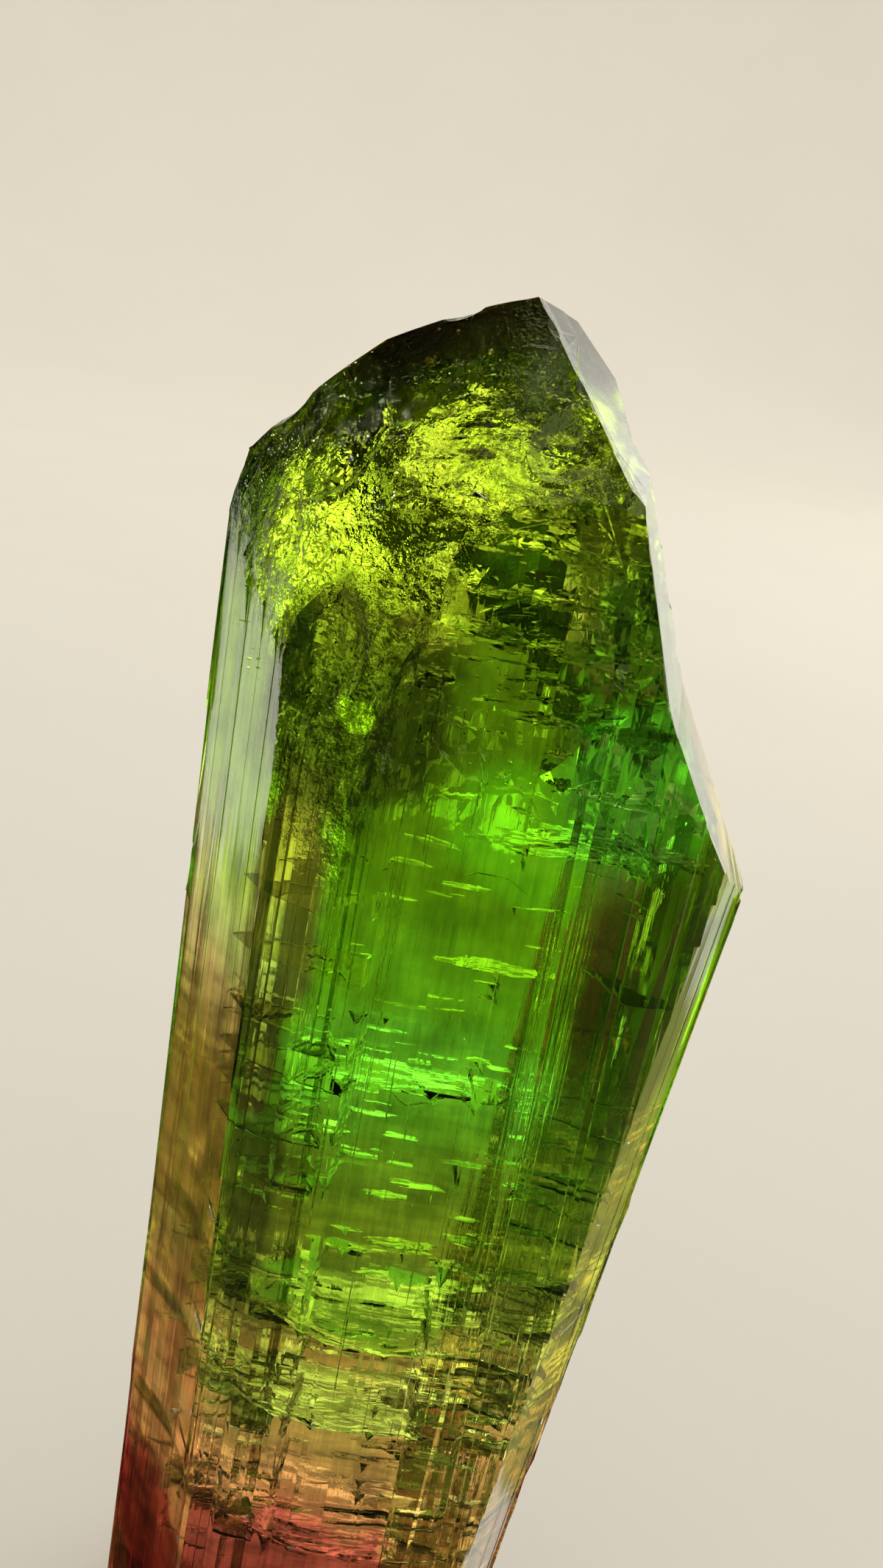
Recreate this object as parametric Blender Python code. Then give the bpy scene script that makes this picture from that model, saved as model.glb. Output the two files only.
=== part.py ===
"""Elbaite tourmaline crystal: a single solid, because the real thing grew as one piece.

The crystal stands upright on its flat foot. +Z is the long c axis, -Y is the front and X runs
to the right. Lengths are in millimetres and are turned into metres as the mesh is made.
Each face is a plane: an azimuth (degrees from the front round to the left), a pitch (degrees
its outward normal rises) and one point on it.
"""

import math

import bmesh
import bpy
from mathutils import Matrix, Vector

MM = 0.001
BLANK_HALF = 30.0
BLANK_TOP = 100.0

# The long faces of the prism. The section is a rounded triangle, widest on the front, and the
# right-hand side flares outwards as it rises.
PRISM_FACES = {
    "front": (-2.0, -0.5, (0.0, -9.4, 58.0)),
    "front_left": (27.0, -0.2, (-5.2, -9.05, 58.0)),
    "left": (64.0, -1.4, (-13.6, 3.0, 58.0)),
    "back_left": (122.0, -1.5, (-13.6, 3.2, 58.0)),
    "back": (180.0, -2.0, (0.0, 15.5, 58.0)),
    "back_right": (-120.0, -5.0, (17.3, -1.0, 58.0)),
    "right": (-66.0, -6.2, (16.9, -2.2, 58.0)),
    "front_right": (-33.0, -2.9, (13.0, -7.9, 58.0)),
    "front_middle": (-13.0, -0.9, (7.2, -9.2, 58.0)),
}

# The faces that close the top on every growth block: broken and etched ones on the left and
# front, smoother ones behind.
END_FACES = {
    "etched_lower": (24.0, 6.6, (-5.1, -7.9, 71.2)),
    "etched_upper": (52.5, 28.8, (-8.1, -2.2, 77.7)),
    "etched_rim": (57.5, 13.2, (-11.5, -0.5, 73.3)),
    "top_front": (9.2, 42.0, (1.1, -5.9, 81.7)),
    "top_plateau": (42.0, 37.3, (-2.8, -3.5, 82.2)),
    "top_back": (153.3, 57.3, (-1.4, 2.5, 84.4)),
    "top_back_left": (144.5, 38.3, (-8.8, 8.2, 75.2)),
    "back_shoulder": (-150.0, 30.0, (3.9, 3.0, 84.6)),
}

# The right-hand end grew as three overlapping blocks, and the crystal is their union.
RIGHT_FACES = {
    "bright_upper": (-72.5, 47.2, (4.9, -4.8, 81.8)),
    "bright_middle": (-82.1, 18.1, (11.4, -5.2, 67.3)),
    "bright_lower": (-83.3, 28.3, (12.0, -5.0, 66.8)),
    "summit_back": (-135.0, 24.1, (4.7, 9.8, 70.2)),
    "summit_right": (-97.0, 16.3, (11.0, -2.1, 64.4)),
    "right_shoulder": (-112.0, 26.2, (4.5, 2.1, 80.2)),
}

# Each block: the height it starts from, how far it is set back, and its right-hand faces.
GROWTH_BLOCKS = {
    "trunk": (0.0, 0.0, ("bright_upper", "bright_lower", "right_shoulder")),
    "shoulder": (48.0, 0.06, ("bright_upper", "bright_middle", "right_shoulder")),
    "summit": (52.0, 0.03, ("bright_upper", "bright_middle", "summit_back", "summit_right")),
}

# Growth steps that run the whole length of a long face: distance along the face from its point
# (to the right, seen from outside), width, and the depth at the left and right side of the step.
GROWTH_STEPS = {
    "front": [(-1.9, 1.0, 0.22, 0.12), (-3.7, 0.6, 0.10, 0.20), (2.9, 1.7, 0.05, 0.16)],
    "front_left": [(-3.4, 0.7, 0.12, 0.24), (-2.2, 0.5, 0.22, 0.08), (-0.9, 0.6, 0.10, 0.22)],
    "left": [(1.6, 1.5, 0.10, 0.26), (4.3, 1.0, 0.24, 0.08), (6.9, 1.3, 0.08, 0.24),
             (9.3, 0.7, 0.20, 0.08)],
    "back_left": [(-4.2, 1.8, 0.30, 0.12), (-7.7, 1.2, 0.10, 0.28), (-11.9, 1.7, 0.26, 0.10)],
    "back": [(-6.2, 1.4, 0.10, 0.26), (-2.0, 2.1, 0.24, 0.10), (2.6, 1.1, 0.10, 0.28),
             (5.6, 1.0, 0.24, 0.10)],
    "back_right": [(2.6, 1.4, 0.24, 0.10), (6.8, 2.0, 0.10, 0.30), (11.6, 1.2, 0.26, 0.10)],
    "right": [(-3.9, 0.6, 0.22, 0.08), (-1.7, 0.5, 0.08, 0.20), (0.6, 0.5, 0.20, 0.08)],
    "front_right": [(-2.3, 0.6, 0.20, 0.08), (0.4, 0.5, 0.08, 0.18)],
    "front_middle": [(-3.4, 0.9, 0.06, 0.16), (0.7, 0.7, 0.24, 0.10), (3.5, 0.5, 0.08, 0.18)],
}

# Shell-shaped breaks: the face they sit on, their middle, half width, half length, depth and
# lean (degrees) of the long way.
SHELL_BREAKS = [
    ("front", (2.6, -9.4, 71.2), 5.0, 7.4, 0.85, 4.0),
    ("front", (-0.4, -9.5, 74.4), 2.2, 3.6, 0.60, -14.0),
    ("front", (-2.2, -9.5, 68.0), 1.9, 4.6, 0.60, 12.0),
    ("front_middle", (7.3, -9.1, 72.8), 2.4, 3.2, 0.45, -20.0),
    ("etched_lower", (-7.0, -7.2, 68.6), 2.6, 3.4, 0.55, 10.0),
    ("etched_upper", (-8.0, -2.2, 78.0), 2.6, 3.2, 0.50, 0.0),
    ("top_front", (3.2, -7.0, 80.6), 2.0, 2.4, 0.40, 30.0),
    ("top_back_left", (-8.6, 9.0, 74.5), 3.0, 2.6, 0.60, 0.0),
    ("back_right", (11.0, 7.0, 50.0), 2.2, 3.8, 0.35, 25.0),
    ("right_shoulder", (9.6, 4.2, 73.4), 1.5, 2.6, 0.40, 10.0),
    ("back", (2.0, 15.0, 30.0), 2.4, 3.4, 0.40, -20.0),
    ("left", (-9.4, -4.8, 6.0), 1.8, 3.0, 0.35, 15.0),
    ("right", (9.6, -6.6, 9.0), 1.2, 2.4, 0.30, -10.0),
]

# Chips on the edge where two faces meet: the faces, the height, half width, half length, depth.
EDGE_CHIPS = [
    ("front", "bright_upper", 79.0, 1.1, 1.0, 0.55),
    ("bright_middle", "right_shoulder", 77.0, 0.6, 1.3, 0.35),
    ("bright_middle", "right_shoulder", 74.0, 0.6, 1.6, 0.35),
    ("bright_middle", "right_shoulder", 70.6, 0.7, 1.2, 0.30),
    ("bright_lower", "right_shoulder", 61.5, 0.5, 1.1, 0.25),
    ("top_front", "bright_upper", 85.6, 0.35, 0.7, 0.18),
    ("top_front", "bright_upper", 83.2, 0.4, 0.9, 0.20),
    ("top_plateau", "top_back", 85.3, 0.7, 1.2, 0.25),
    ("etched_upper", "top_back_left", 78.6, 0.8, 1.5, 0.35),
    ("etched_rim", "left", 70.6, 0.6, 1.4, 0.30),
    ("right", "back_right", 57.6, 0.8, 1.3, 0.35),
    ("left", "back_left", 52.0, 0.5, 1.6, 0.25),
    ("back", "back_right", 38.0, 0.7, 2.1, 0.35),
    ("left", "back_left", 0.4, 1.5, 1.5, 0.55),
    ("right", "back_right", 0.5, 1.4, 1.8, 0.50),
    ("back", "back_left", 0.6, 1.6, 1.6, 0.60),
    ("front", "front_left", 0.3, 1.1, 1.3, 0.35),
]

STEP_OUTSIDE = 1.5
STEP_REACH = 70.0
BREAK_DETAIL = 3
CHIP_DETAIL = 2

# Points closer than this (metres) are one point.
DOUBLED = 0.000002


def clear_scene():
    """Remove everything that Blender starts with."""
    for thing in list(bpy.data.objects):
        bpy.data.objects.remove(thing, do_unlink=True)


def face_axes(azimuth, pitch):
    """The face's own directions: right along it, outward normal, and up along its length."""
    turn = math.radians(270.0 - azimuth)
    rise = math.radians(pitch)
    level = math.cos(rise)
    normal = Vector((math.cos(turn) * level, math.sin(turn) * level, math.sin(rise)))
    right = Vector((0.0, 0.0, 1.0)).cross(normal).normalized()
    upward = normal.cross(right).normalized()
    return right, normal, upward


def face_of(name):
    """Directions and one point of a named face."""
    azimuth, pitch, point = {**PRISM_FACES, **END_FACES, **RIGHT_FACES}[name]
    return face_axes(azimuth, pitch), Vector(point)


def cut_plane(mesh, point, normal):
    """Slice away what lies outside the plane and close the cut with one face."""
    everything = mesh.verts[:] + mesh.edges[:] + mesh.faces[:]
    sliced = bmesh.ops.bisect_plane(
        mesh, geom=everything, plane_co=point, plane_no=normal, clear_outer=True
    )
    rim = [item for item in sliced["geom_cut"] if isinstance(item, bmesh.types.BMEdge)]
    bmesh.ops.contextual_create(mesh, geom=rim)


def growth_block(name):
    """One plain faceted block: a box cut by every shared face and by its own right-hand ones."""
    start, set_back, right_faces = GROWTH_BLOCKS[name]
    height = BLANK_TOP - start
    mesh = bmesh.new()
    middle = Matrix.Translation((0.0, 0.0, start + height / 2))
    size = Matrix.Diagonal((2 * BLANK_HALF, 2 * BLANK_HALF, height, 1.0))
    bmesh.ops.create_cube(mesh, size=1.0, matrix=middle @ size)
    for face_name in [*PRISM_FACES, *END_FACES, *right_faces]:
        (_, normal, _), point = face_of(face_name)
        cut_plane(mesh, point - normal * set_back, normal)
    bmesh.ops.recalc_face_normals(mesh, faces=mesh.faces[:])
    return mesh


def add_object(name, mesh, collection):
    """Turn a millimetre bmesh into an object measured in metres."""
    bmesh.ops.scale(mesh, vec=(MM, MM, MM), verts=mesh.verts[:])
    data = bpy.data.meshes.new(name)
    mesh.to_mesh(data)
    mesh.free()
    thing = bpy.data.objects.new(name, data)
    collection.objects.link(thing)
    return thing


def add_cutter(name, mesh, collection):
    """A helper solid that is only joined or subtracted, never shown."""
    bmesh.ops.recalc_face_normals(mesh, faces=mesh.faces[:])
    cutter = add_object(name, mesh, collection)
    cutter.hide_render = True
    cutter.display_type = "WIRE"
    return cutter


def step_cutter(name, face_name, offset, width, left_depth, right_depth, collection):
    """A long bar laid on a prism face: its inner side is the floor of one growth step."""
    (right, normal, upward), point = face_of(face_name)
    side_points = [
        (offset, -left_depth),
        (offset + width, -right_depth),
        (offset + width + 0.05, STEP_OUTSIDE),
        (offset - 0.05, STEP_OUTSIDE),
    ]
    mesh = bmesh.new()
    rings = []
    for reach in (-STEP_REACH, STEP_REACH):
        ring = []
        for along, out in side_points:
            ring.append(mesh.verts.new(point + right * along + normal * out + upward * reach))
        rings.append(ring)
    low, high = rings
    mesh.faces.new(low)
    mesh.faces.new(high[::-1])
    for index in range(4):
        after = (index + 1) % 4
        mesh.faces.new((low[after], low[index], high[index], high[after]))
    return add_cutter(name, mesh, collection)


def break_cutter(name, face_name, middle, half_width, half_length, depth, lean, collection):
    """A flattened ball that scoops a shell-shaped hollow of the given depth."""
    (right, normal, upward), point = face_of(face_name)
    centre = Vector(middle)
    centre -= normal * normal.dot(centre - point)
    centre += normal * depth
    spread = 1.0 / math.sqrt(0.75)
    frame = Matrix((right, normal, upward)).transposed().to_4x4()
    turned = Matrix.Rotation(math.radians(lean), 4, "Y")
    size = Matrix.Diagonal((half_width * spread, 2.0 * depth, half_length * spread, 1.0))
    mesh = bmesh.new()
    bmesh.ops.create_icosphere(
        mesh,
        subdivisions=BREAK_DETAIL,
        radius=1.0,
        matrix=Matrix.Translation(centre) @ frame @ turned @ size,
    )
    return add_cutter(name, mesh, collection)


def edge_point(first, second, height):
    """The point at the given height on the edge of two faces, and the way out of the edge."""
    (_, normal_a, _), point_a = face_of(first)
    (_, normal_b, _), point_b = face_of(second)
    rows = Matrix((normal_a, normal_b, (0.0, 0.0, 1.0)))
    point = rows.inverted() @ Vector((normal_a.dot(point_a), normal_b.dot(point_b), height))
    return point, (normal_a + normal_b).normalized()


def chip_cutter(name, first, second, height, half_width, half_length, depth, collection):
    """A flattened ball that takes a shallow chip out of an edge."""
    point, outward = edge_point(first, second, height)
    across = Vector((0.0, 0.0, 1.0)).cross(outward).normalized()
    along = outward.cross(across)
    frame = Matrix((across, outward, along)).transposed().to_4x4()
    size = Matrix.Diagonal((half_width * 1.6, 2.0 * depth, half_length * 1.3, 1.0))
    mesh = bmesh.new()
    bmesh.ops.create_icosphere(
        mesh,
        subdivisions=CHIP_DETAIL,
        radius=1.0,
        matrix=Matrix.Translation(point + outward * depth) @ frame @ size,
    )
    return add_cutter(name, mesh, collection)


def all_cutters(collection):
    """Every growth step, shell break and chip."""
    cutters = []
    for face_name, steps in GROWTH_STEPS.items():
        for index, step in enumerate(steps):
            cutters.append(step_cutter(f"step_{face_name}_{index}", face_name, *step, collection))
    for index, item in enumerate(SHELL_BREAKS):
        cutters.append(break_cutter(f"break_{index}", *item, collection))
    for index, item in enumerate(EDGE_CHIPS):
        cutters.append(chip_cutter(f"chip_{index}", *item, collection))
    return cutters


def green_glass():
    """Clear green for the whole crystal; its colour zones belong to the finished look."""
    material = bpy.data.materials.new("tourmaline")
    material.use_nodes = True
    shader = material.node_tree.nodes["Principled BSDF"]
    shader.inputs["Base Color"].default_value = (0.16, 0.42, 0.05, 1.0)
    shader.inputs["Roughness"].default_value = 0.08
    shader.inputs["IOR"].default_value = 1.63
    shader.inputs["Transmission Weight"].default_value = 0.9
    return material


def combine(crystal, other, operation):
    """Join another solid to the crystal or take it away."""
    change = crystal.modifiers.new(other.name, "BOOLEAN")
    change.operation = operation
    change.solver = "EXACT"
    change.object = other


def close_up(crystal):
    """Merge points that a join left doubled."""
    weld = crystal.modifiers.new("close_up", "WELD")
    weld.merge_threshold = DOUBLED


def build():
    """Make the crystal and cut its natural marks into it."""
    clear_scene()
    scene = bpy.context.scene
    helpers = bpy.data.collections.new("cutters")
    scene.collection.children.link(helpers)
    crystal = add_object("crystal", growth_block("trunk"), scene.collection)
    crystal.data.materials.append(green_glass())
    for name in ("shoulder", "summit"):
        block = add_cutter(name, growth_block(name), helpers)
        combine(crystal, block, "UNION")
        close_up(crystal)
    for cutter in all_cutters(helpers):
        combine(crystal, cutter, "DIFFERENCE")
    close_up(crystal)


build()
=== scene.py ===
"""Finished look of the elbaite crystal: etched top, growth lines, colour zones and healed cracks.

Lengths in the tables are millimetres; the scene itself is in metres.
"""

import math
import random

import bmesh
import bpy
from mathutils import Matrix, Vector, noise
from mathutils.bvhtree import BVHTree


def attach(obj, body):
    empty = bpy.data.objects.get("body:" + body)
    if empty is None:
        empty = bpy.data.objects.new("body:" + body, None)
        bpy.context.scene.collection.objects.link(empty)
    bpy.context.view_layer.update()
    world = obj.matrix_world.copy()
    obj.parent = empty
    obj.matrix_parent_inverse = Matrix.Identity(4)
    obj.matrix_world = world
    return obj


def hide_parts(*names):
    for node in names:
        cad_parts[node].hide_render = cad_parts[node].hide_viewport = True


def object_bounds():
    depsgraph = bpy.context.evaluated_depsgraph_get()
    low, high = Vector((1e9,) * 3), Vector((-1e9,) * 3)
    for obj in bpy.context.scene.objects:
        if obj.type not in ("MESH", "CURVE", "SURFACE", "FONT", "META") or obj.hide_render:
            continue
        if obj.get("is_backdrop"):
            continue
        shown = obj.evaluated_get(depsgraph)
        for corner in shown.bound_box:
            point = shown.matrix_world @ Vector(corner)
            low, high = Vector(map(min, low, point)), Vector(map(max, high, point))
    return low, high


MM = 0.001
SEED = 29
UP = Vector((0.0, 0.0, 1.0))
# The angle of the front's direction, -Y, from X.
FRONT_ANGLE = 270.0


# ---- crystal surface ----

# The faces of the crystal by azimuth (degrees from the front round to the left), pitch and a
# point on each, as the solid has them.
LONG_FACES = {
    "front": (-2.0, -0.5, (0.0, -9.4, 58.0)),
    "front_left": (27.0, -0.2, (-5.2, -9.05, 58.0)),
    "left": (64.0, -1.4, (-13.6, 3.0, 58.0)),
    "back_left": (122.0, -1.5, (-13.6, 3.2, 58.0)),
    "back": (180.0, -2.0, (0.0, 15.5, 58.0)),
    "back_right": (-120.0, -5.0, (17.3, -1.0, 58.0)),
    "right": (-66.0, -6.2, (16.9, -2.2, 58.0)),
    "front_right": (-33.0, -2.9, (13.0, -7.9, 58.0)),
    "front_middle": (-13.0, -0.9, (7.2, -9.2, 58.0)),
}
ETCHED_FACES = {
    "etched_lower": (24.0, 6.6, (-5.1, -7.9, 71.2)),
    "etched_upper": (52.5, 28.8, (-8.1, -2.2, 77.7)),
    "etched_rim": (57.5, 13.2, (-11.5, -0.5, 73.3)),
    "top_front": (9.2, 42.0, (1.1, -5.9, 81.7)),
    "top_plateau": (42.0, 37.3, (-2.8, -3.5, 82.2)),
}
ALL_FACES = {**LONG_FACES, **ETCHED_FACES}

# How near to a face's direction (degrees) and plane a polygon of that face lies. Then how
# near two polygons count as one plane and two points as one, and how closely a cut is made.
LONG_SPREAD = 21.0
ETCHED_SPREAD = 14.0
FACE_REACH = 1.2
SAME_PLANE = math.radians(0.3)
SAME_POINT = 0.002
CUT_SLACK = 1e-3
CUT_MERGE = 1e-4
FOOT = 0.01

# The smoother, darker band along the top edge: its height, and how it falls to the left.
BROW_HEIGHT = 84.6
BROW_FALL = 0.46

# Growth lines: least and greatest width, how far apart they may change, and relief.
LINE_WIDTHS = (0.16, 0.58)
LINE_HEIGHTS = (2.0, 4.5)
LINE_RELIEF = 0.045
LINE_SINK = 0.04
FINE_LINES = 0.8
SWELL_RELIEF = 0.04
# Coarse and fine lines and a broad swell: waves per millimetre across and up, and how one
# face's waves are set off from the next face's.
LINE_WAVES = [(1.1, 0.035, 7.3, 0.0), (4.3, 0.09, 3.1, 40.0), (0.3, 0.08, 5.7, 90.0)]
FLAT_FACES = ("left", "right")
FLATNESS = 0.85
FLAT_START = 0.25
SOFT_LINES = 0.3
STRONG_FACE = "back_right"
STRONG_LINES = 3.5
STRONG_TOP = 44.0
STRONG_FADE = 6.0

# The broken part of the front: where it is, how finely it is cut, and its relief: plates, with
# grain on them (waves per millimetre across and up, and where in the noise they start).
BROKEN_FACES = ("front", "front_middle", "front_right")
BROKEN_START = 58.0
BROKEN_CLEAR = 2.0
BROKEN_FADE = 5.0
BROKEN_HEIGHTS = (0.5, 1.1)
BROKEN_CUTS = 46
BROKEN_REACH = (1.0, 4.0)
BROKEN_RELIEF = 0.22
PLATE_WAVES = (0.30, 0.20, 11.0)
PLATE_STEPS = 7.0
PLATE_GRAIN = (1.3, 0.9, 70.0)
PLATE_GRAIN_SHARE = 0.35

# Etched relief: grid, unevenness, depth and width of its hills, pits and grain, and how it is
# sunk, rounded at edges, drawn out upright low down and calmed on the brow and at its rim.
ETCH_GRID = (0.17, 0.31)
ETCH_SHIFT = 0.07
ETCH_HILLS = (0.26, 2.6)
ETCH_PITS = (0.10, 0.80)
PIT_RIM = 0.45
PIT_REACH = 0.9
ETCH_GRAIN = (0.035, 0.30)
GRAIN_PLACE = Vector((31.0, 7.0, 3.0))
ETCH_SINK = 0.12
SINK_GAIN = 2.0
ETCH_RISE = 0.06
ETCH_ROUNDING = 1.0
ETCH_DRAWN = 2.6
ETCH_DRAWN_TOP = 72.5
ETCH_DRAWN_FADE = 3.0
PLATEAU_CALM = 0.25
EDGE_CALM = 0.25
# The calmer round hollow that glows: middle, reach and how much relief is left in it.
GLOW = (Vector((-6.6, -6.3, 74.6)), 3.6, 0.45)


def clamped(share):
    """share, held between 0 and 1."""
    return min(max(share, 0.0), 1.0)


def face_axes(azimuth, pitch):
    """Right along a face, its outward normal, and up along its length."""
    turn = math.radians(FRONT_ANGLE - azimuth)
    rise = math.radians(pitch)
    level = math.cos(rise)
    normal = Vector((math.cos(turn) * level, math.sin(turn) * level, math.sin(rise)))
    right = UP.cross(normal).normalized()
    return right, normal, normal.cross(right).normalized()


def solid_mesh(node):
    """The solid's own mesh in millimetres."""
    mesh = bmesh.new()
    mesh.from_mesh(node.data)
    mesh.transform(node.matrix_world)
    bmesh.ops.scale(mesh, vec=(1 / MM, 1 / MM, 1 / MM), verts=mesh.verts[:])
    bmesh.ops.remove_doubles(mesh, verts=mesh.verts[:], dist=SAME_POINT)
    return mesh


def name_faces(mesh):
    """Give every polygon the number of the crystal face it belongs to; 0 is none."""
    tags = mesh.faces.layers.int.new("crystal_face")
    named = []
    for table, spread in ((LONG_FACES, LONG_SPREAD), (ETCHED_FACES, ETCHED_SPREAD)):
        least = math.cos(math.radians(spread))
        for azimuth, pitch, point in table.values():
            named.append((face_axes(azimuth, pitch)[1], Vector(point), least))
    for face in mesh.faces:
        middle = face.calc_center_median()
        score = 0.0
        for number, (normal, point, least) in enumerate(named, start=1):
            along = face.normal.dot(normal)
            near = abs(normal.dot(middle - point)) < FACE_REACH
            if along > least and near and along > score:
                face[tags] = number
                score = along
    return tags


def slice_faces(mesh, faces, normal, places):
    """Cut these faces by a rising row of parallel planes, and return them all."""
    active = list(faces)
    done = []
    for place in places:
        crossing = []
        above = []
        for face in active:
            sides = [normal.dot(vert.co) - place for vert in face.verts]
            if max(sides) < CUT_SLACK:
                done.append(face)
            elif min(sides) < -CUT_SLACK:
                crossing.append(face)
            else:
                above.append(face)
        active = above
        if crossing:
            parts = set(crossing)
            for face in crossing:
                parts.update(face.edges)
                parts.update(face.verts)
            cut = bmesh.ops.bisect_plane(
                mesh, geom=list(parts), plane_co=normal * place, plane_no=normal, dist=CUT_MERGE
            )
            active += [part for part in cut["geom"] if isinstance(part, bmesh.types.BMFace)]
    return done + active


def uneven_steps(start, end, least, most, rng):
    """Places from start to end with uneven gaps."""
    places = []
    place = start + rng.uniform(least, most)
    while place < end:
        places.append(place)
        place += rng.uniform(least, most)
    return places


def span_of(faces, direction):
    """How far these faces reach along a direction."""
    reach = [direction.dot(vert.co) for face in faces for vert in face.verts]
    return min(reach), max(reach)


def slice_long_face(mesh, faces, name, rng):
    """Growth lines all the way up, and a finer, broken net over the top of the front."""
    azimuth, pitch, _ = LONG_FACES[name]
    right, _, upward = face_axes(azimuth, pitch)
    columns = uneven_steps(*span_of(faces, right), *LINE_WIDTHS, rng)
    faces = slice_faces(mesh, faces, right, columns)
    low, high = span_of(faces, upward)
    split = max(low, BROKEN_START) if name in BROKEN_FACES else high
    rows = uneven_steps(low, split, *LINE_HEIGHTS, rng)
    rows += uneven_steps(split, high, *BROKEN_HEIGHTS, rng)
    faces = slice_faces(mesh, faces, upward, rows)
    if name in BROKEN_FACES:
        cut_at_random(mesh, faces, (right, upward), (split + BROKEN_CLEAR, high), rng)


def cut_at_random(mesh, faces, axes, heights, rng):
    """Short cuts at every angle across the broken part of the front."""
    right, upward = axes
    widths = span_of(faces, right)
    for _ in range(BROKEN_CUTS):
        angle = rng.uniform(0.0, math.tau)
        across = right * math.cos(angle) + upward * math.sin(angle)
        point = right * rng.uniform(*widths) + upward * rng.uniform(*heights)
        reach = rng.uniform(*BROKEN_REACH)
        near = [
            face
            for face in faces
            if face.is_valid
            and abs((face.calc_center_median() - point).dot(right)) < reach
            and abs((face.calc_center_median() - point).dot(upward)) < reach
        ]
        made = slice_faces(mesh, near, across, [across.dot(point)])
        faces = [face for face in faces if face.is_valid and face not in set(near)] + made


def slice_etched_face(mesh, faces, name, rng):
    """A fine uneven net over one etched face."""
    azimuth, pitch, _ = ETCHED_FACES[name]
    right, _, upward = face_axes(azimuth, pitch)
    for direction in (right, upward):
        places = uneven_steps(*span_of(faces, direction), *ETCH_GRID, rng)
        faces = slice_faces(mesh, faces, direction, places)


def slice_surface(mesh, tags, rng):
    """Cut the long faces into growth lines and the etched ones into a fine net."""
    groups = {name: [] for name in ALL_FACES}
    for face in mesh.faces:
        if face[tags]:
            groups[list(ALL_FACES)[face[tags] - 1]].append(face)
    for name, faces in groups.items():
        faces = [face for face in faces if face.is_valid]
        if name in LONG_FACES:
            slice_long_face(mesh, faces, name, rng)
        else:
            slice_etched_face(mesh, faces, name, rng)


def drawn_noise(place, rates):
    """Noise with its own waves per millimetre across and up, from its own starting height."""
    across, up, start = rates
    return noise.noise(Vector((place.x * across, place.y * across, place.z * up + start)))


def line_height(across, upward, name, number):
    """Relief of the growth lines at one place on a long face."""
    coarse, fine, swell = (
        noise.noise(Vector((across * wide, upward * tall, number * apart + start)))
        for wide, tall, apart, start in LINE_WAVES
    )
    soft = SOFT_LINES if name in FLAT_FACES else 1.0
    return soft * LINE_RELIEF * (coarse + FINE_LINES * fine) + SWELL_RELIEF * swell


def broken_height(place):
    """Relief of the broken part of the front: shallow plates with steps between them."""
    amount = clamped((place.z - BROKEN_START - BROKEN_CLEAR) / BROKEN_FADE)
    if amount == 0.0:
        return 0.0
    step = math.floor(drawn_noise(place, PLATE_WAVES) * PLATE_STEPS) / PLATE_STEPS
    grain = PLATE_GRAIN_SHARE * drawn_noise(place, PLATE_GRAIN)
    return amount * BROKEN_RELIEF * (step + grain - PLATE_GRAIN_SHARE)


def etch_height(place):
    """Relief of the etched top at one place, drawn out upright in its lower part."""
    share = clamped((ETCH_DRAWN_TOP - place.z) / ETCH_DRAWN_FADE)
    height = 0.0
    if share < 1.0:
        height += (1.0 - share) * etch_field(place)
    if share > 0.0:
        height += share * etch_field(Vector((place.x, place.y, place.z / ETCH_DRAWN)))
    return height


def etch_field(spot):
    """Hills, sharp pits and grain."""
    hills = noise.noise(spot / ETCH_HILLS[1])
    distances, _ = noise.voronoi(spot / ETCH_PITS[1])
    grain = noise.noise(spot / ETCH_GRAIN[1] + GRAIN_PLACE)
    pits = PIT_RIM - min(distances[0], PIT_REACH)
    return ETCH_HILLS[0] * hills - ETCH_PITS[0] * pits + ETCH_GRAIN[0] * grain


def above_brow(place):
    """Whether a point is on the smoother, darker band along the top edge."""
    return place.z > BROW_HEIGHT + BROW_FALL * min(place.x, 0.0)


def rounded(place, name, normal):
    """The move that rounds off an edge between two etched faces."""
    total = Vector()
    for other, (azimuth, pitch, point) in ETCHED_FACES.items():
        if other == name:
            continue
        _, beside, _ = face_axes(azimuth, pitch)
        depth = -beside.dot(place - Vector(point))
        if depth < ETCH_ROUNDING:
            short = ETCH_ROUNDING - max(depth, 0.0)
            share = 0.5 * short / ETCH_ROUNDING
            way = (normal * (1.0 - share) + beside * share).normalized()
            total -= way * (short * short / (4.0 * ETCH_ROUNDING))
    return total


def long_face_move(place, name, number, axes):
    """How far a point of a long face sinks."""
    right, normal, upward = axes
    height = line_height(right.dot(place), upward.dot(place), name, number) - LINE_SINK
    if name == STRONG_FACE:
        share = clamped((STRONG_TOP - place.z) / STRONG_FADE)
        height *= 1.0 + share * (STRONG_LINES - 1.0)
    if name in BROKEN_FACES:
        height += broken_height(place)
    if name in FLAT_FACES:
        proud = normal.dot(place - Vector(LONG_FACES[name][2])) + FLAT_START
        height -= FLATNESS * max(proud, 0.0)
    return normal * min(height, 0.0)


def etched_face_move(vert, tags, name, number, axes, rng):
    """How a point of an etched face moves: up or down, and a little along the face."""
    right, normal, upward = axes
    calm = PLATEAU_CALM if above_brow(vert.co) else 1.0
    middle, width, least = GLOW
    calm *= least + (1.0 - least) * min((vert.co - middle).length / width, 1.0)
    if any(not face[tags] for face in vert.link_faces):
        calm *= EDGE_CALM
    height = etch_height(vert.co) * calm - ETCH_SINK * min(calm * SINK_GAIN, 1.0)
    move = normal * min(height, ETCH_RISE) + rounded(vert.co, name, normal)
    if all(face[tags] == number for face in vert.link_faces):
        move += right * rng.uniform(-ETCH_SHIFT, ETCH_SHIFT)
        move += upward * rng.uniform(-ETCH_SHIFT, ETCH_SHIFT)
    return move


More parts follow.
